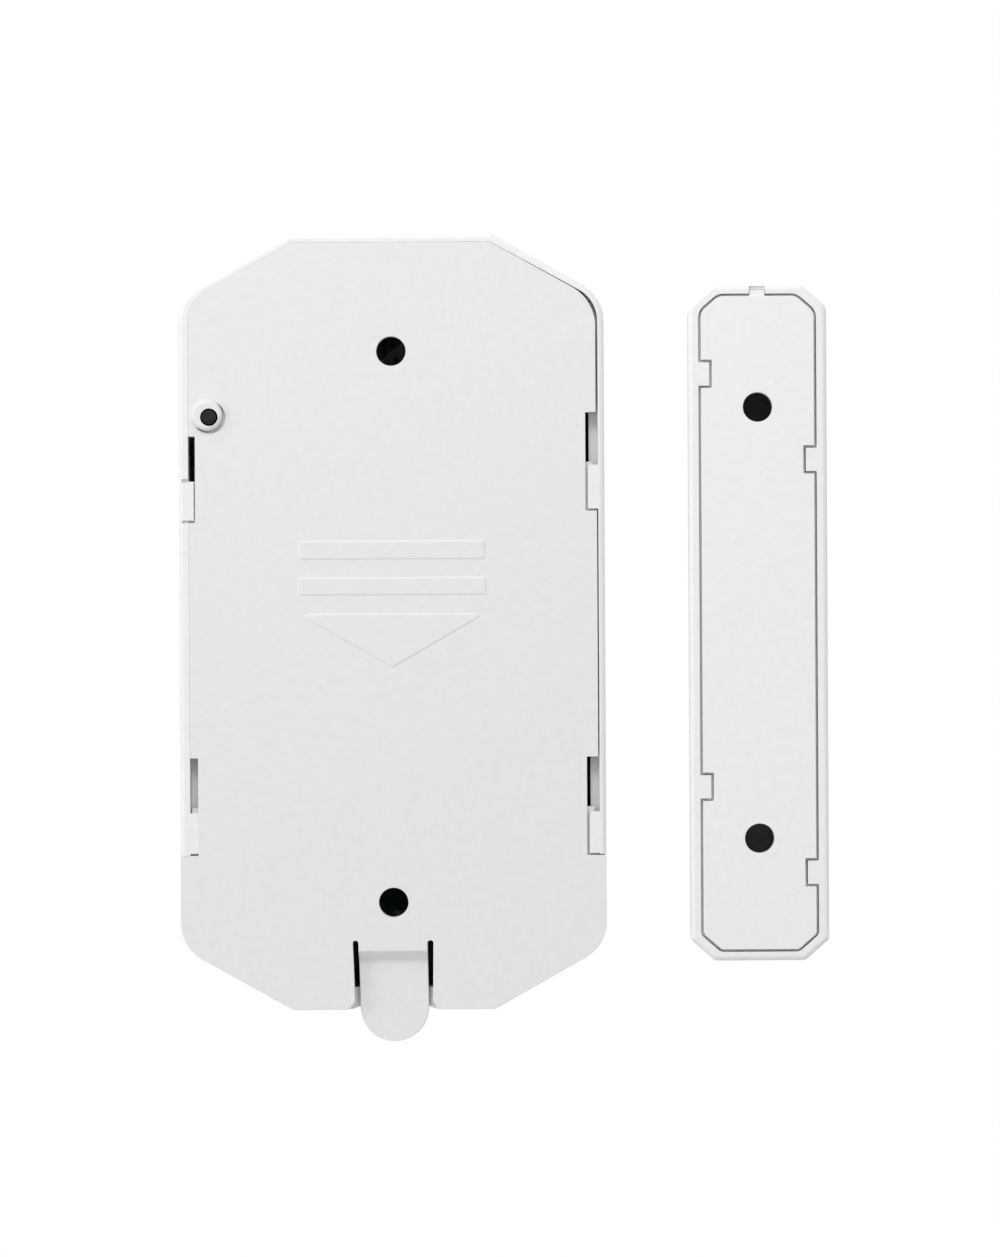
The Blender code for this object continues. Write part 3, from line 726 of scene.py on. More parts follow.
def tracks(look, along, across):
    """Copper lines that run one way over a board, with a link between two here and there."""
    made = look.node(
        "TexBrick",
        Vector=look.node("CombineXYZ", X=along, Y=across).outputs["Vector"],
        Scale=1.0,
        Brick_Width=11.3,
        Row_Height=0.95,
        Mortar_Size=0.14,
        Mortar_Smooth=0.2,
    )
    return made.outputs["Fac"]


def painted_light_patch(look):
    """A white patch with one sloping edge behind the upper fixing hole of the plate: painted light,
    standing in for the lit part of the board seen through the hole, its sloping edge standing in for
    the edge of the hole's shadow.
    """
    half, steepness, gap_radius = 2.2, 0.87, 0.3
    x, z = look.axis("X", 0.25), look.axis("Z", 27.7)
    square = look.under(look.maths("MAXIMUM", look.size(x), look.size(z)), half)
    below = look.under(look.maths("ADD", z, look.maths("MULTIPLY", x, steepness)), 0.0)
    gap = look.within(look.axis("X", -0.23), look.axis("Z", 26.85), gap_radius)
    return look.both(look.both(square, below), look.maths("SUBTRACT", 1.0, gap))


def printed_board():
    """Green solder mask over copper tracks, tinned rings round the screws, bare fibre at the edge, and
    a white patch of painted light behind the plate's upper hole.
    """
    # The second colour is painted light: the white of the lit patch behind the plate's upper hole.
    tin, painted_light_white = (0.60, 0.58, 0.52), (0.88, 0.88, 0.87)
    via_radius, ring_radius = 0.09, 2.6
    look = Look("printed_board", (0.01, 0.06, 0.03), 0.3)
    x, z = look.axis("X"), look.axis("Z")
    region = look.over(look.noise(8.0, 0.0), 0.5)
    level = look.both(tracks(look, x, z), region)
    upright_ones = look.both(tracks(look, z, x), look.maths("SUBTRACT", 1.0, region))
    poured = look.contrast(look.noise(6.0, 0.0), 0.6, 0.61)
    copper = look.either(level, upright_ones, poured)
    masked = look.mixed(copper, (0.008, 0.055, 0.026), (0.018, 0.115, 0.05))
    flat = look.node("CombineXYZ", X=x, Y=z).outputs["Vector"]
    from_via = look.node("TexVoronoi", Vector=flat, Scale=0.22).outputs["Distance"]
    masked = look.mixed(look.under(from_via, via_radius), masked, tin)
    # Painted light: a white patch where the board is seen through the plate's upper hole, its sloping
    # edge standing in for the edge of a shadow.
    lit_patch = painted_light_patch(look)
    masked = look.mixed(lit_patch, masked, painted_light_white)
    from_x = look.maths("SUBTRACT", look.size(x), BOARD_SCREW_X)
    from_z = look.maths("SUBTRACT", look.size(z), BOARD_SCREW_Z)
    plated = look.mixed(look.within(from_x, from_z, ring_radius), masked, tin)
    facing = look.node("SeparateXYZ", Vector=look.node("TexCoord").outputs["Normal"])
    edge = look.under(look.size(facing.outputs["Y"]), 0.5)
    fibre = look.mixed(look.noise(0.15, 2.0, (1, 6, 1)), (0.42, 0.38, 0.20), (0.55, 0.50, 0.30))
    look.spread(plated, fibre, edge)
    look.gloss(look.either(edge, lit_patch, copper), 0.3, 0.6)
    look.bump(copper, 0.03, 0.6)
    return look.material


def glass_tube():
    """Soda glass with the green tint of a reed switch, drawn slightly wavy."""
    look = Look("reed_switch_glass", (0.80, 0.93, 0.84), 0.04)
    look.set("Transmission Weight", 0.92)
    look.set("IOR", 1.52)
    wave = look.noise(1.5, 1.0, (1, 1, 0.4))
    look.spread((0.74, 0.90, 0.80), (0.86, 0.96, 0.90), wave)
    look.bump(wave, 0.01, 0.3)
    return look.material


def cell_sleeve():
    """The cell's printed sleeve: dark, with a pale band near its button end, between steel rims."""
    band_z = (6.4, 11.9)
    look = Look("cell_sleeve", (0.03, 0.04, 0.06), 0.3)
    z = look.axis("Z")
    dark = look.mixed(look.noise(1.2), (0.022, 0.03, 0.05), (0.035, 0.045, 0.07))
    band = look.both(look.over(z, band_z[0]), look.under(z, band_z[1]))
    printed = look.mixed(band, dark, (0.50, 0.46, 0.36))
    bare = look.either(look.over(z, cell.high.z - 0.7), look.under(z, cell.low.z + 0.5))
    look.spread(printed, (0.62, 0.61, 0.58), bare)
    look.set("Metallic", bare)
    look.gloss(look.noise(0.4, 3.0), 0.22, 0.4)
    look.bump(look.noise(0.3), 0.004, 0.3)
    return look.material


def capacitor_skin(top_y, stripe_x):
    """The capacitor's shrunk sleeve with its pale stripe, open over the aluminium top."""
    look = Look("capacitor_skin", (0.02, 0.025, 0.09), 0.35)
    stripe = look.under(look.axis("X"), stripe_x)
    sleeve = look.mixed(stripe, (0.018, 0.022, 0.08), (0.45, 0.46, 0.50))
    top = look.over(look.axis("Y"), top_y - 0.12)
    look.spread(sleeve, (0.72, 0.72, 0.71), top)
    look.set("Metallic", top)
    look.gloss(look.noise(0.3, 3.0), 0.28, 0.45)
    look.bump(look.noise(0.25), 0.006, 0.4)
    return look.material


def chip_part(name, centre_x, body):
    """A chip component along x: a body between two tinned ends."""
    body_half = 0.68
    look = Look(name, body, 0.5)
    from_centre = look.size(look.maths("SUBTRACT", look.axis("X"), centre_x))
    end = look.over(from_centre, body_half)
    grain = look.noise(0.12, 3.0)
    look.spread(look.mixed(grain, body, scaled(body, 1.35, 0.005)), (0.68, 0.67, 0.64), end)
    look.set("Metallic", end)
    look.gloss(grain, 0.3, 0.6)
    look.bump(grain, 0.01, 0.4)
    return look.material


def grainy(name, colour, grain_mm, roughness, depth_mm, spread):
    """A plain solid with grain, such as moulding compound, ferrite or foam."""
    look = Look(name, colour, roughness)
    grain = look.noise(grain_mm, 4.0)
    look.spread(colour, scaled(colour, 1 + spread, 0.004), look.contrast(grain, 0.35, 0.7))
    look.gloss(look.noise(grain_mm * 3), roughness - 0.08, roughness + 0.08)
    look.bump(grain, depth_mm, 0.5)
    return look.material


def dress(look, *names):
    """Gives CAD nodes that stay as they are their material, with round faces shaded smooth."""
    for name in names:
        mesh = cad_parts[name].data
        mesh.materials.clear()
        mesh.materials.append(look)
        mesh.shade_smooth()
        mesh.set_sharp_from_angle(angle=math.radians(35))


# ---- Transmitter case ----


def shell_sections(corners, depth, draft, front_rounding, shift=(0, 0)):
    """Sections from a rounded rear edge, along drafted sides, to a rounded front."""
    edges = []
    for cosine, sine in quarter(6):
        edges.append((REAR_Y - REAR_ROUNDING * (1 - cosine), REAR_ROUNDING * (1 - sine)))
    for cosine, sine in quarter(12):
        edges.append((-depth + front_rounding * (1 - sine), draft + front_rounding * (1 - cosine)))
    return [(y, rounded(inset(corners, inward), shift)) for y, inward in edges]


def make_transmitter_case(look):
    corners = case_corners()
    outer = loft(shell_sections(corners, DEPTH, DRAFT, FRONT_ROUNDING))
    floor_y = -DEPTH + FRONT_WALL
    inside = (
        (OPEN_Y, WALL),
        (floor_y + FLOOR_ROUNDING, WALL + INNER_DRAFT),
        (floor_y, WALL + INNER_DRAFT + FLOOR_ROUNDING),
    )
    hollow = loft([(y, rounded(inset(corners, inward))) for y, inward in inside])
    beyond = 30.0
    below_rim = box_outline(-beyond, beyond, RIM_END_Z, -2 * beyond)
    steps = cut(
        hollow,
        slab(rounded(recess_corners()), SHELF_Y, OPEN_Y),
        slab(below_rim, SHELF_Y, OPEN_Y),
    )
    steps += hook_steps() + end_wall_steps() + board_boss_steps(floor_y)
    lamp_hole = cylinder((0, lens.mid_z), -DEPTH - 1, -DEPTH + 3, LAMP_HOLE_RADIUS)
    line = box_outline(-HALF_WIDTH - 1, -HALF_WIDTH + LINE_DEPTH, -LINE_HALF_WIDTH, LINE_HALF_WIDTH)
    steps += cut(lamp_hole, slab(line, *LINE_Y))
    islands = [lens.mid_z] + [screw_place(number)[1] for number in SCREWS]
    mesh = smooth(softened(carved(outer, steps, islands), EASED))
    piece("transmitter_case", mesh, look, "transmitter", ["front_housing"])


def recess_corners():
    """The recess in the case for the plate. The rim is wider on one long side."""
    corners = inset(case_corners(HALF_HEIGHT - TOP_RIM_EXTRA), RIM)
    return [(min(x, LEFT_RECESS_X), z, radius) for x, z, radius in corners]


def hook_steps():
    """The four hooks, the shelves under their slots, and two short grooves in the rim."""
    steps = []
    wall_x = HALF_WIDTH - WALL
    for hook in HOOKS:
        side = hook.side
        inner_x = side * (hook.notch_x + hook.seam)
        outline = box_outline(inner_x, side * (HALF_WIDTH - HOOK_EDGE), hook.foot, hook.top)
        steps += add(slab(outline, REAR_Y - HOOK_THICK, REAR_Y))
        low_z, high_z = hook.slot_foot - SHELF_EXTRA, hook.slot_top + SHELF_EXTRA
        if hook.shelf_x < wall_x:
            shelf = box_outline(side * hook.shelf_x, side * (wall_x + OVERLAP), low_z, high_z)
            steps += add(slab(shelf, SHELF_Y - SHELF_THICK, SHELF_Y))
        else:
            low_z, high_z = low_z + SHELF_EXTRA, high_z - SHELF_EXTRA
            pocket = box_outline(side * POCKET_X, side * hook.shelf_x, low_z, high_z)
            steps += cut(slab(pocket, POCKET_Y, REAR_Y + 0.5))
    for low_z, high_z in RIM_GROOVES:
        groove = box_outline(LEFT_RECESS_X - 0.3, RIM_GROOVE_END_X, low_z, high_z)
        steps += cut(slab(groove, REAR_Y - RIM_GROOVE_DEPTH, OPEN_Y))
    return steps


def end_wall_steps():
    """The notch in the end wall that the release tab's catch drops into, and the lip under the tab."""
    notch_half = TAB_HALF_WIDTH + NOTCH_CLEARANCE
    lip_half = notch_half + LIP_EXTRA
    lip = slab(box_outline(-lip_half, lip_half, *LIP_Z), LIP_FRONT_Y, SHELF_Y)
    notch = slab(box_outline(-notch_half, notch_half, *NOTCH_Z), NOTCH_FLOOR_Y, OPEN_Y)
    return add(lip) + cut(notch)


def screw_place(number):
    """Where one of the four screws of the board is, as (x, z)."""
    screw = Box(f"board_screw_{number}")
    return screw.mid_x, screw.mid_z


def board_boss_steps(floor_y):
    """Four bosses that hold the board off the case's floor, each with the bore for its screw."""
    steps = []
    for number in SCREWS:
        place = screw_place(number)
        steps += add(cylinder(place, floor_y - 0.3, board.low.y - 0.2, BOSS_RADIUS))
        steps += cut(cylinder(place, floor_y - 0.7, 0, BOSS_BORE, sides=32))
    return steps


# ---- Wall plate ----


def plate_outline():
    """The plate: inside the case's rim above, and over the case's end wall below.

    It sits against one long side of the recess, so the seam shows on the other.
    """
    full = case_corners()
    inner = inset(recess_corners(), PLATE_SEAM)
    right_z, left_z = (RIM_END_Z - gap for gap in STEP_GAPS)
    right_x, left_x = inner[2][0], inner[5][0]
    upper_x, lower_x = (left_x + play for play in PLATE_PLAY)
    corners = [
        *full[:2],
        (HALF_WIDTH, right_z, STEP_RADIUS),
        (right_x, right_z, 0.0),
        *inner[2:5],
        (upper_x, inner[5][1], inner[5][2] + PLATE_SHOULDER_EXTRA),
        (upper_x, PLATE_PLAY_Z, 0.0),
        (lower_x, PLATE_PLAY_Z, 0.0),
        (lower_x, left_z, 0.0),
        (-HALF_WIDTH, left_z, STEP_RADIUS),
        *full[6:],
    ]
    return rounded(corners)


def tab_opening():
    """The two slots beside the tab, and the space for the tab between them."""
    beyond = -HALF_HEIGHT - 1.0
    corners = [(-SLOT_FOOT[1], beyond, 0.0), (SLOT_FOOT[0], beyond, 0.0)]
    corners += [(x, TAB_SLOT_TOP_Z, SLOT_ROUND) for x in (SLOT_TOP[0], TAB_ROOT[0])]
    corners += [(x, TAB_SEAM_Z, 0.0) for x in (TAB_ROOT[0], -TAB_ROOT[1])]
    corners += [(x, TAB_SLOT_TOP_Z, SLOT_ROUND) for x in (-TAB_ROOT[1], -SLOT_TOP[1])]
    return rounded(corners, steps_a_turn=48)


def flare(foot_x, width):
    """A sloping cut that widens the foot of a slot beside the tab, most at the plate's edge."""
    inner_x = foot_x - math.copysign(OVERLAP, foot_x)
    top_z, foot_z = -HALF_HEIGHT + FLARE_HEIGHT, -HALF_HEIGHT - FLARE_HEIGHT
    sections = []
    for y, outward in ((-PLATE_THICK - 0.1, 0.02), (0.1, width)):
        edge_x = foot_x + math.copysign(2 * outward, foot_x)
        outline = [(inner_x, top_z), (foot_x, top_z), (edge_x, foot_z), (inner_x, foot_z)]
        sections.append((y, outline))
    return loft(sections)


def raised(outline):
    """A low mark with sloping sides."""
    corners = [(x, z, MARK_RADIUS) for x, z in outline]
    foot, top = (rounded(inset(corners, inward)) for inward in (-MARK_SLOPE, 0.0))
    return loft([(-0.4, foot), (0.0, foot), (MARK_HEIGHT, top)])


def mark_steps():
    """Two bars and an arrowhead that point towards the release tab."""
    shapes = [box_outline(half, -half, low_z, high_z) for half, low_z, high_z in MARK_BARS]
    half, top_z, tip_z = MARK_TRIANGLE
    shapes.append([(0, tip_z), (half, top_z), (-half, top_z)])
    return add(*(raised(shape) for shape in shapes))


def collar():
    """The low domed ring that the tamper pin comes through, a little off its centre."""
    foot, top = COLLAR_RADII
    dome = [(top + (foot - top) * cosine, COLLAR_HEIGHT * sine) for cosine, sine in quarter(8)]
    profile = [(0, COLLAR_ROOT_Y), (foot, COLLAR_ROOT_Y), *dome, (0, COLLAR_HEIGHT)]
    place = (PIN_PLACE[0] + COLLAR_SHIFT[0], PIN_PLACE[1] + COLLAR_SHIFT[1])
    return lathe(profile, place, FINE_SIDES)


def plate_slot_steps():
    """For each hook, the slot it goes in by, the thinned ledge it slides over, and a cut-off nub."""
    steps = []
    for hook in HOOKS:
        edge, beyond = hook.side * hook.notch_x, hook.side * (HALF_WIDTH + 1)
        ledge_top = hook.slot_foot + 0.01
        slot = box_outline(edge, beyond, hook.slot_foot, hook.slot_top)
        ledge = box_outline(edge, beyond, hook.foot - HOOK_FOOT_GAP, ledge_top)
        steps += cut(through(slot), slab(ledge, LEDGE_Y, REACH))
        if hook.slot_foot > hook.top:
            corner = box_outline(hook.side * LEDGE_NUB_X, beyond, hook.top, ledge_top)
            steps += cut(through(corner))
    return steps


def make_wall_plate(look):
    seat_radius, seat_depth = COLLAR_SEAT
    steps = mark_steps()
    steps += cut(cylinder(PIN_PLACE, -seat_depth, REACH, seat_radius, FINE_SIDES))
    steps += add(collar(), cylinder(PIN_PLACE, *GUIDE_Y, GUIDE_RADIUS))
    steps += cut(through(circle(*PIN_PLACE, COLLAR_BORE)))
    steps += cut(*(through(circle(0, z, SCREW_HOLE_RADIUS)) for z in PLATE_HOLE_Z))
    steps += plate_slot_steps()
    steps += cut(through(tab_opening()))
    steps += cut(flare(SLOT_FOOT[0], FLARE_WIDTHS[0]), flare(-SLOT_FOOT[1], FLARE_WIDTHS[1]))
    islands = [*PLATE_HOLE_Z, PIN_PLACE[1], (MARK_TRIANGLE[1] + MARK_TRIANGLE[2]) / 2]
    islands += [(low_z + high_z) / 2 for _, low_z, high_z in MARK_BARS]
    mesh = carved(slab(plate_outline(), -PLATE_THICK, 0), steps, islands)
    mesh = smooth(softened(mesh, EASED))
    piece("wall_plate", mesh, look, "plate", ["mounting_plate"])


def tab_section(left_x, right_x, y_rear, y_front, edge):
    """A rounded rectangle (x, y) across the tab, round from its rear face."""
    steps = 3
    corners = (
        (right_x - edge, y_rear - edge),
        (right_x - edge, y_front + edge),
        (left_x + edge, y_front + edge),
        (left_x + edge, y_rear - edge),
    )
    points = []
    for quarters, (x, y) in enumerate(corners):
        for step in range(steps + 1):
            angle = math.pi / 2 * (1 - quarters - step / steps)
            points.append((x + edge * math.cos(angle), y + edge * math.sin(angle)))
    return points


def clamped(value):
    """The value kept from 0 to 1."""
    return min(1.0, max(0.0, value))


def tab_heights(straight_end_z):
    """Where the tab's sections are: at its root, down its bend, down its length and round its end."""
    bend_top, bend_foot = TAB_BEND_Z
    radius = straight_end_z - TAB_TIP_Z
    heights = [TAB_SEAM_Z + TAB_LAP, TAB_SEAM_Z]
    heights += [bend_top + (bend_foot - bend_top) * i / 16 for i in range(17)]
    heights += [straight_end_z + (bend_foot - straight_end_z) * (1 - i / 6) for i in range(1, 7)]
    heights += [straight_end_z - radius * sine for _, sine in quarter(24, 1)[:-1]]
    return heights


def make_release_tab(look):
    """The tongue: flat at its root, dipping away from the wall, and round at its end.

    It leans a little, and its root laps over the plate's edge so that no line shows between them.
    """
    radius = (TAB_FOOT[0] + TAB_FOOT[1]) / 2
    straight_end_z = TAB_TIP_Z + radius
    bend_top, bend_foot = TAB_BEND_Z
    sunk, least_width = 0.003, 0.2
    rings = []
    for z in tab_heights(straight_end_z):
        along = clamped((bend_top - z) / (bend_top - bend_foot))
        dip = TAB_DIP * (1 - math.cos(math.pi * along)) / 2 - sunk
        thick = PLATE_THICK + (TAB_THICK - PLATE_THICK) * along
        lean = clamped((TAB_SEAM_Z - z) / (TAB_SEAM_Z - straight_end_z))
        right_x = TAB_ROOT[0] + (TAB_FOOT[0] - TAB_ROOT[0]) * lean
        left_x = -TAB_ROOT[1] + (TAB_ROOT[1] - TAB_FOOT[1]) * lean
        down = max(0.0, straight_end_z - z)
        narrowed = radius - math.sqrt(max(radius**2 - down**2, least_width**2))
        half = (right_x - left_x) / 2 - narrowed
        edge = min(TAB_EDGE, half * 0.4)
        section = tab_section(left_x + narrowed, right_x - narrowed, -dip, -dip - thick, edge)
        rings.append([(x, y, z) for x, y in section])
    inner_y = -TAB_DIP - TAB_THICK
    catch = box_outline(-CATCH_X, CATCH_X, *CATCH_Z, 0.1)
    steps = add(slab(catch, inner_y - CATCH_HEIGHT, inner_y + 0.3))
    mesh = smooth(carved(skinned(rings), steps))
    obj = piece("release_tongue", mesh, look, None, ["release_tab"])
    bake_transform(obj)


def make_tamper_pin(look):
    """The pin: a rounded tip, a flange under the guide, and a foot that presses the switch."""
    radius, rounding, neck = 0.72, 0.2, 0.6
    tip_y, foot_y = pin.high.y, pin.low.y
    flange_y = GUIDE_Y[0] - 0.1
    profile = [(0, tip_y)]
    for cosine, sine in quarter(6):
        profile.append((radius - rounding + rounding * sine, tip_y - rounding * (1 - cosine)))
    profile += [(radius, flange_y), (1.2, flange_y), (1.2, flange_y - 0.7), (neck, flange_y - 0.7)]
    profile += [(neck, foot_y + 0.8), (1.1, foot_y + 0.8), (1.1, foot_y + 0.25), (0.9, foot_y)]
    mesh = smooth(lathe([*profile, (0, foot_y)], PIN_PLACE))
    piece("tamper_plunger", mesh, look, "tamper_pin", ["tamper_pin"])


# ---- Inside the transmitter ----


def rolled_edge(radius, top_y, rounding):
    """Points of a profile (radius, y) round the rim of a can."""
    return [
        (radius - rounding * (1 - cosine), top_y - rounding * (1 - sine))
        for cosine, sine in quarter(8)
    ]


def make_lens():
    """The lamp's window: a flanged plug with a slightly domed face."""
    radius, flange, flange_thick, dome = 1.45, 2.0, 0.35, 0.18
    front_y, rear_y = lens.low.y, lens.high.y
    inner_y, dome_y = rear_y - flange_thick, front_y + dome
    profile = [(0, rear_y), (flange, rear_y), (flange, inner_y), (radius, inner_y)]
    profile += [(radius * cosine, dome_y - dome * sine) for cosine, sine in quarter(8)[:-1]]
    profile.append((0, front_y))
    mesh = smooth(lathe(profile, (0, lens.mid_z), FINE_SIDES), 50)
    piece("lamp_lens", mesh, red_lens(), "transmitter", ["led_window"])


def make_board_screws(metal):
    """Pan-head screws with a cross recess."""
    flat, dome_width, dome_height = 0.6, 1.3, 0.9
    crest, root, tip, pitch = 1.0, 0.72, 0.3, 0.7
    slot_half, slot_side, slot_depth = 1.05, 0.19, 0.75
    for number in SCREWS:
        name = f"board_screw_{number}"
        screw = Box(name)
        x, z = place = screw_place(number)
        under_y, top_y, low_y = board.high.y + 0.2, screw.high.y, screw.low.y
        profile = [(0, top_y), (flat, top_y)]
        for cosine, sine in quarter(6, 1):
            profile.append((flat + dome_width * sine, top_y - dome_height * (1 - cosine)))
        profile += [(flat + dome_width, under_y), (crest, under_y)]
        turn_y = under_y - 0.9
        while turn_y - pitch > low_y + 0.7:
            profile += [(root, turn_y), (root, turn_y - 0.25), (crest, turn_y - 0.45)]
            turn_y -= pitch
        profile += [(tip, low_y), (0, low_y)]
        cuts = []
        for half_x, half_z in ((slot_half, slot_side), (slot_side, slot_half)):
            slot = box_outline(x - half_x, x + half_x, z - half_z, z + half_z)
            cuts += cut(slab(slot, top_y - slot_depth, top_y + 1))
        mesh = smooth(carved(lathe(profile, place, 48), cuts), 35)
        piece(f"pan_head_screw_{number}", mesh, metal, "transmitter", [name])


def make_cell():
    """The cell with its rolled rims and its raised middle."""
    rim, step_z = 0.35, 0.12
    foot, top, radius = cell.low.z, cell.high.z, cell.half_x
    profile = [(0, foot), (radius - rim - 0.5, foot)]
    profile += [(radius - rim - inward, foot + step_z) for inward in (0.4, 0.1)]
    for end_z, side in ((foot, -1), (top, 1)):
        arc = [
            (radius - rim + rim * sine, end_z + side * rim * (cosine - 1))
            for cosine, sine in quarter(6)
        ]
        profile += arc if side < 0 else reversed(arc)
    profile += [(radius - rim - 0.2, top - 0.1), (radius - 1.6, top - 0.1)]
    profile += [(radius - 1.8, top), (0, top)]
    mesh = smooth(upright(profile, cell.mid_x, cell.mid_y, FINE_SIDES), 50)
    piece("alkaline_cell", mesh, cell_sleeve(), "transmitter", ["battery_cell"])


def make_spring(metal):
    """The coned spring that holds the cell."""
    spring = Box("battery_spring")
    large = spring.half_x - WIRE
    length = spring.high.z - spring.low.z - 2 * WIRE
    count = SPRING_STEPS * SPRING_TURNS
    points = []
    for step in range(count + 1):
        along = step / count
        angle = math.tau * step / SPRING_STEPS
        radius = large - SPRING_TAPER * along
        x, y = cell.mid_x + radius * math.cos(angle), cell.mid_y + radius * math.sin(angle)
        points.append((x, y, spring.low.z + WIRE + length * along))
    mesh = smooth(tube(points, WIRE), 60)
    piece("coned_spring", mesh, metal, "transmitter", ["battery_spring"])


def make_contact(name, metal):
    """A sprung contact plate: rounded shoulders, a pressed dimple and a solder foot."""
    box = Box(name)
    half, thick = box.half_x, box.high.z - box.low.z
    shoulder_y, foot_half, dish_y = box.low.y + 1.6, 1.2, thick * 0.45
    left = [(-half, box.high.y, 1.6), (-half, shoulder_y, 0.2)]
    left += [(-foot_half, shoulder_y, 0.2), (-foot_half, box.low.y, 0.1)]
    right = [(-x, y, radius) for x, y, radius in reversed(left)]
    outline = rounded(right[2:] + left + right[:2])
    dish = lathe([(0, -0.1), (1.7, -0.1), (1.5, dish_y), (0, dish_y)], (0, cell.mid_y))
    mesh = softened(carved(slab(outline, 0.0, thick), cut(dish)), 0.06)
    swap = Matrix(((1, 0, 0, 0), (0, 0, 1, 0), (0, 1, 0, box.low.z), (0, 0, 0, 1)))
    mesh = smooth(turned(mesh, swap))
    piece(name + "_plate", mesh, metal, "transmitter", [name])


def moulded_body(box, bow):
    """A moulded package whose four sides slope towards its top and its foot."""
    low, high = box.low, box.high
    sections = []
    for y, inward in ((low.y, bow), (box.mid_y - 0.05, 0.0), (box.mid_y + 0.05, 0.0), (high.y, bow)):
        left_x, right_x = low.x + inward, high.x - inward
        sections.append((y, box_outline(left_x, right_x, low.z + inward, high.z - inward)))
    return loft(sections)


def gull_wing(start, out, foot_y):
    """One formed leg from the side of a package down to its pad."""
    half_width = 0.16
    start, out = Vector(start), Vector(out)
    down = Vector((start.x, foot_y, start.z))
    route = [start - out * 0.3, start + out * 0.3, down + out * 0.45, down + out * 0.95]
    return tube([tuple(place) for place in route], half_width, 0)


def make_packages(metal):
    """The encoder and the transistor, each with its legs."""
    compound = grainy("moulding_compound", (0.018, 0.018, 0.019), 0.1, 0.55, 0.006, 0.6)
    chip = Box("encoder_chip")
    foot_y = chip.low.y + 0.02
    dimple_place = (chip.low.x + 0.8, chip.high.z - 0.8)
    dimple = cylinder(dimple_place, chip.high.y - 0.12, chip.high.y + 1, 0.4, sides=32)
    mesh = smooth(softened(carved(moulded_body(chip, 0.12), cut(dimple)), EASED))
    piece("encoder_body", mesh, compound, "transmitter", ["encoder_chip"])
    legs = []
    for i in range(ENCODER_LEGS):
        z = chip.mid_z + LEG_PITCH * (i - (ENCODER_LEGS - 1) / 2)
        legs.append(gull_wing((chip.low.x, chip.mid_y, z), (-1, 0, 0), foot_y))
        legs.append(gull_wing((chip.high.x, chip.mid_y, z), (1, 0, 0), foot_y))
    small = Box("rf_transistor")
    mesh = smooth(softened(moulded_body(small, 0.08), 0.04))
    piece("transistor_body", mesh, compound, "transmitter", ["rf_transistor"])
    pitch, reach = 0.95, 0.7
    for across, z, side in ((-pitch, small.low.z, -1), (pitch, small.low.z, -1), (0, small.high.z, 1)):
        start = (small.mid_x + across, small.mid_y, z)
        legs.append(gull_wing(start, (0, 0, side * reach), foot_y))
    piece("package_legs", smooth(joined(legs)), metal, "transmitter")


def make_resonator(metal):
    """The resonator's welded can on its flange."""
    can = Box("saw_resonator")
    foot, flange = can.low.y, can.half_x
    wall = flange - 0.3
    profile = [(0, foot), (flange, foot), (flange, foot + 0.35), (wall, foot + 0.4)]
    profile += [*rolled_edge(wall, can.high.y, 0.4), (0, can.high.y)]
    mesh = smooth(lathe(profile, (can.mid_x, can.mid_z), FINE_SIDES), 50)
    piece("resonator_can", mesh, metal, "transmitter", ["saw_resonator"])


def make_capacitor():
    """The electrolytic capacitor with its crimp and its vent."""
    can = Box("electrolytic_capacitor")
    foot, top, radius = can.low.y, can.high.y, can.half_x
    vent_half, vent_side, vent_depth = 1.5, 0.06, 0.2
    crimp = ((0.25, 0.0), (0.0, 0.3), (0.0, 0.7), (0.2, 0.95), (0.0, 1.2))
    profile = [(0, foot)] + [(radius - inward, foot + up) for inward, up in crimp]
    profile += rolled_edge(radius, top, 0.35)
    profile += [(radius - 0.6, top - 0.1), (0, top - 0.1)]
    vents = []
    for turn in (0, 60, 120):
        vent = box_outline(-vent_half, vent_half, -vent_side, vent_side)
        spin = Matrix.Rotation(math.radians(turn), 4, "Y")
        place = Matrix.Translation((can.mid_x, 0, can.mid_z)) @ spin
        vents += cut(turned(slab(vent, top - vent_depth, top + 1), place))
    mesh = smooth(carved(lathe(profile, (can.mid_x, can.mid_z), FINE_SIDES), vents), 50)
    skin = capacitor_skin(top, can.mid_x - radius * 0.75)
    names = ["electrolytic_capacitor"]
    piece("capacitor_can", mesh, skin, "transmitter", names)


def make_antenna():
    """The close-wound helical antenna. Returns where its ends meet the board."""
    box = Box("antenna_coil")
    radius, half = box.half_z - WIRE, box.half_x - WIRE
    centre_y = box.high.y - WIRE - radius
    steps = COIL_TURNS * COIL_STEPS
    points = [(-half, box.low.y, box.mid_z)]
    for step in range(steps + 1):
        angle = math.tau * step / COIL_STEPS
        x = -half + 2 * half * step / steps
        y, z = centre_y - radius * math.cos(angle), box.mid_z + radius * math.sin(angle)
        points.append((x, y, z))
    points.append((half, box.low.y, box.mid_z))
    copper = plated_metal("enamelled_copper", (0.78, 0.33, 0.13), 0.25)
    mesh = smooth(tube(points, WIRE, 3), 60)
    piece("helical_antenna", mesh, copper, "transmitter", ["antenna_coil"])
    return [(-half, box.mid_z), (half, box.mid_z)]


def make_reed_switch(metal):
    """The glass tube round the two reeds. Returns where the leads meet the board."""
    box = Box("reed_glass")
    half = box.half_z
    outside = [(0.45, half), (0.72, half - 0.15), (0.9, half - 0.45), (1.05, half - 1.0)]
    inside = [(0.32, half), (0.32, half - 0.6), (0.78, half - 1.2)]
    profile = outside + [(r, -z) for r, z in reversed(outside)]
    profile += [(r, -z) for r, z in inside] + list(reversed(inside))
    profile = [(r, z + box.mid_z) for r, z in profile]
    mesh = smooth(upright(profile, box.mid_x, box.mid_y, 48, closed=True), 50)
    piece("reed_tube", mesh, glass_tube(), "transmitter", ["reed_glass"])
    dress(metal, "reed_lead_lower", "reed_lead_upper", "reed_blade")
    lead_ends = (Box("reed_lead_lower").low.z, Box("reed_lead_upper").high.z)
    return [(box.mid_x, z) for z in lead_ends]


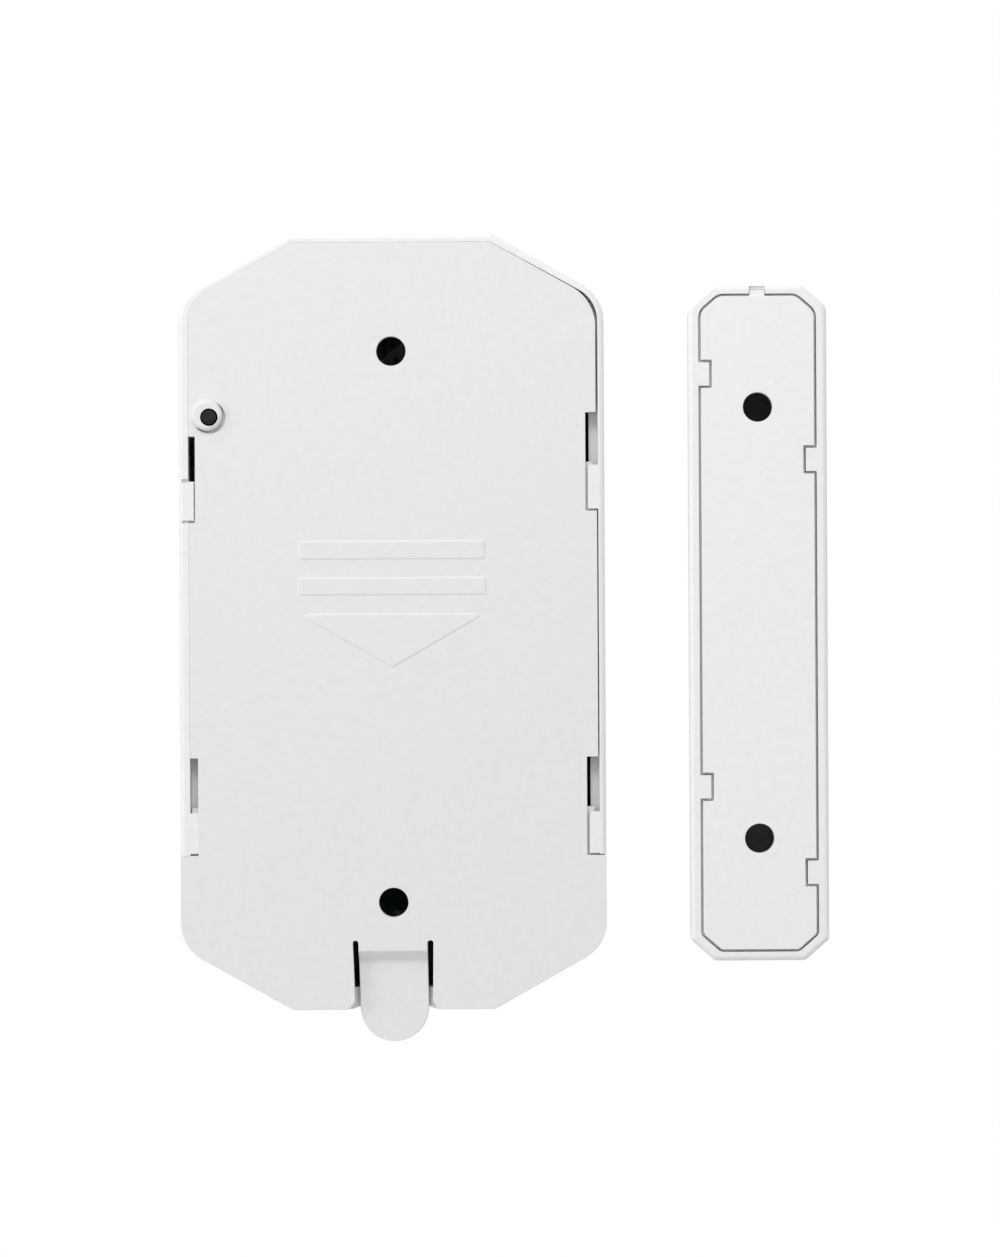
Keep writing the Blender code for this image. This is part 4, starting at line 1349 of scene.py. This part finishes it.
def make_solder(places):
    """Cones of solder where leads meet the board."""
    face = board.high.y + 0.02
    cone = ((0, 0), (0.75, 0), (0.72, 0.08), (0.5, 0.25), (0.36, 0.5), (0, 0.55))
    profile = [(radius, face + up) for radius, up in cone]
    mesh = smooth(joined([lathe(profile, place, 32) for place in places]), 60)
    solder = plated_metal("solder", (0.66, 0.66, 0.64), 0.22)
    piece("solder_joints", mesh, solder, "transmitter")


def make_inside():
    """What the transmitter holds. Plain CAD nodes that stay get their materials here."""
    steel = plated_metal("nickel_plated_steel", (0.63, 0.62, 0.59))
    tinned = plated_metal("tinned_copper", (0.66, 0.65, 0.62), 0.32)
    make_lens()
    make_board_screws(steel)
    make_cell()
    make_contact("battery_contact_positive", steel)
    make_contact("battery_contact_negative", steel)
    make_spring(steel)
    make_packages(tinned)
    make_resonator(steel)
    make_capacitor()
    make_solder(make_antenna() + make_reed_switch(steel))
    dress(steel, "battery_positive_cap")
    dress(printed_board(), "circuit_board")
    dress(dark_moulding("switch_black", (0.015, 0.015, 0.016)), "tamper_switch_body")
    dress(grainy("button_white", (0.72, 0.72, 0.70), 0.2, 0.5, 0.005, 0.08), "tamper_switch_button")
    resistor = chip_part("resistor_black", Box("resistor_1").mid_x, (0.02, 0.02, 0.021))
    dress(resistor, *(f"resistor_{number}" for number in range(1, 5)))
    ceramic_x = Box("ceramic_capacitor_1").mid_x
    ceramic = chip_part("ceramic_tan", ceramic_x, (0.44, 0.32, 0.19))
    dress(ceramic, "ceramic_capacitor_1", "ceramic_capacitor_2")
    dress(chip_part("lamp_chip", 0.0, (0.85, 0.80, 0.45)), "status_led")
    dress(grainy("ferrite", (0.10, 0.10, 0.105), 0.12, 0.6, 0.02, 0.5), "bar_magnet")
    dress(grainy("foam_tape", (0.74, 0.74, 0.71), 0.25, 0.9, 0.06, 0.2), "magnet_adhesive_pad")


# ---- Magnet unit ----


def beside(corners):
    return rounded(corners, MAGNET_PLACE)


def lug_outline(side, z, grow):
    """The outline of one lug of the magnet case, or of its notch in the cover when grown."""
    x, place_z = MAGNET_PLACE
    half = LUG_LENGTH / 2 + grow - COVER_SEAM
    inner_x = x + side * (COVER_HALF[0] - LUG_DEPTH - grow)
    outer_x = x + side * (COVER_HALF[0] + 0.6)
    return box_outline(inner_x, outer_x, place_z + z - half, place_z + z + half)


def make_magnet_case(look):
    corners = chamfered(MAGNET_HALF, MAGNET_CHAMFER)
    sections = shell_sections(
        corners, MAGNET_DEPTH, MAGNET_DRAFT, MAGNET_FRONT_ROUNDING, MAGNET_PLACE
    )
    inside = ((OPEN_Y, MAGNET_WALL), (-MAGNET_DEPTH + MAGNET_WALL, MAGNET_WALL + MAGNET_DRAFT))
    hollow = loft([(y, beside(inset(corners, inward))) for y, inward in inside])
    recess = beside(inset(chamfered(COVER_HALF, COVER_CHAMFER), -COVER_SEAM))
    steps = cut(hollow, slab(recess, SHELF_Y, OPEN_Y))
    for side, z in LUGS:
        steps += add(slab(lug_outline(side, z, 0.0), SHELF_Y - 0.4, REAR_Y))
    x, z = MAGNET_PLACE
    top = z + COVER_HALF[1]
    for height, low_y in ((PRY_NUB, SHELF_Y), (1.0, PRY_NOTCH_Y)):
        pry = box_outline(x - PRY_HALF_WIDTH, x + PRY_HALF_WIDTH, top - 1.0, top + height)
        steps += cut(slab(pry, low_y, OPEN_Y))
    edge_x = x + MAGNET_HALF[0]
    line = box_outline(edge_x - LINE_DEPTH, edge_x + 1, -LINE_HALF_WIDTH, LINE_HALF_WIDTH)
    steps += cut(slab(line, *MAGNET_LINE_Y))
    mesh = smooth(softened(carved(loft(sections), steps), MAGNET_EASED))
    piece("magnet_unit_case", mesh, look, "magnet_housing", ["magnet_case"])


def cover_layer(grow, lug_grow, low_y, high_y):
    """The cover's outline with its four notches, over a range of depths."""
    outline = beside(inset(chamfered(COVER_HALF, COVER_CHAMFER), -grow))
    notches = [through(lug_outline(side, z, lug_grow)) for side, z in LUGS]
    return carved(slab(outline, low_y, high_y), cut(*notches))


def make_magnet_cover(look):
    """The cover. A flange below its face nearly closes the seam round it, so the seam is shallow."""
    x, z = MAGNET_PLACE
    flange = cover_layer(COVER_SEAM - COVER_CLOSE, COVER_CLOSE, -COVER_THICK, COVER_FLANGE_Y)
    half = PRY_HALF_WIDTH - COVER_CLOSE
    top = z + COVER_HALF[1]
    nub = box_outline(x - half, x + half, top - 0.4, top + PRY_NUB - COVER_CLOSE)
    steps = add(
        cover_layer(0.0, COVER_SEAM, COVER_FLANGE_Y - 0.1, 0.0),
        slab(nub, -COVER_THICK + 0.05, -0.3),
    )
    heights = [z + at for at in COVER_HOLE_Z]
    steps += cut(*(through(circle(x, at, SCREW_HOLE_RADIUS)) for at in heights))
    mesh = smooth(softened(carved(flange, steps, heights), MAGNET_EASED))
    piece("magnet_rear_cover", mesh, look, "magnet_base", ["magnet_cover"])


# ---- Light, floor and camera ----


def make_world():
    """White all round. It shows as plain white, but lights the object unevenly, most from above."""
    white = (1, 1, 1, 1)
    world = bpy.data.worlds.new("studio")
    bpy.context.scene.world = world
    world.use_nodes = True
    tree = world.node_tree
    seen = tree.nodes["Background"]
    seen.inputs["Strength"].default_value = 1.0
    seen.inputs["Color"].default_value = white
    slope = new_node(tree, "VectorMath", {"operation": "DOT_PRODUCT"})
    feed(slope.inputs[0], new_node(tree, "TexCoord").outputs["Generated"])
    feed(slope.inputs[1], WORLD_SLOPE)
    strength = new_node(tree, "Math", {"operation": "ADD"})
    feed(strength.inputs[0], slope.outputs["Value"])
    feed(strength.inputs[1], WORLD_STRENGTH)
    lighting = new_node(tree, "Background", Color=white, Strength=strength.outputs["Value"])
    mix = new_node(tree, "MixShader", Fac=new_node(tree, "LightPath").outputs["Is Camera Ray"])
    feed(mix.inputs[1], lighting.outputs["Background"])
    feed(mix.inputs[2], seen.outputs["Background"])
    feed(tree.nodes["World Output"].inputs["Surface"], mix.outputs["Shader"])


def make_light(name, place, size, power):
    """A round soft light that points at the middle of the frame."""
    light = bpy.data.lights.new(name, "AREA")
    light.shape = "DISK"
    light.size = size
    light.energy = power
    obj = shown(light, name)
    obj.location = place
    obj.rotation_mode = "QUATERNION"
    obj.rotation_quaternion = (-Vector(place)).to_track_quat("-Z", "Y")


def make_floor():
    """A pale floor with rounded corners, below the camera's view."""
    half, corner, thick, floor_z = 350.0, 60.0, 6.0, -120.0
    outline = box_outline(-half, half, -half, half, corner)
    mesh = skinned([[(x, y, z) for x, y in outline] for z in (floor_z - thick, floor_z)])
    look = Look("pale_floor", (0.60, 0.60, 0.59), 0.7)
    look.spread((0.58, 0.58, 0.57), (0.62, 0.62, 0.61), look.noise(60.0))
    mesh.transform(Matrix.Scale(MM, 4))
    mesh.materials.append(look.material)
    shown(mesh, "floor")


def make_camera():
    """Straight on to the wall side, between the two units, from half a metre."""
    frame_height, roll, middle = 0.1257, math.radians(-0.3), (-0.01077, -0.00075)
    camera = bpy.data.cameras.new("camera")
    camera.lens = 150
    camera.sensor_width = 36
    camera.clip_start = 0.01
    camera.clip_end = 10
    obj = shown(camera, "camera")
    distance = frame_height * camera.lens / camera.sensor_width
    obj.location = (middle[0], distance, middle[1])
    facing = Matrix.Rotation(math.pi, 4, "Z") @ Matrix.Rotation(math.pi / 2, 4, "X")
    obj.rotation_euler = (facing @ Matrix.Rotation(roll, 4, "Z")).to_euler()
    bpy.context.scene.camera = obj


def main():
    bpy.context.scene.view_settings.view_transform = "Standard"
    # One white ABS in three greys. The case and magnet unit are lighter and the plate darker partly as
    # painted light, for how brightly each part is lit, and partly as a real difference in tone.
    case_white = spark_eroded_white("case_white_abs", 0.85)
    plate_white = spark_eroded_white("plate_white_abs", 0.80)
    magnet_white = spark_eroded_white("magnet_white_abs", 0.865)
    pin_black = dark_moulding("pin_black_acetal", (0.008, 0.008, 0.0085))
    make_transmitter_case(case_white)
    make_wall_plate(plate_white)
    make_release_tab(plate_white)
    make_tamper_pin(pin_black)
    make_magnet_case(magnet_white)
    make_magnet_cover(magnet_white)
    make_inside()
    make_world()
    make_light("top_light", (0.02, 0.20, 0.19), 0.10, 0.20)
    make_light("left_light", (0.50, 0.25, 0.10), 0.20, 0.65)
    make_light("front_fill", (-0.25, -0.40, 0.25), 0.20, 0.6)
    make_floor()
    make_camera()


main()
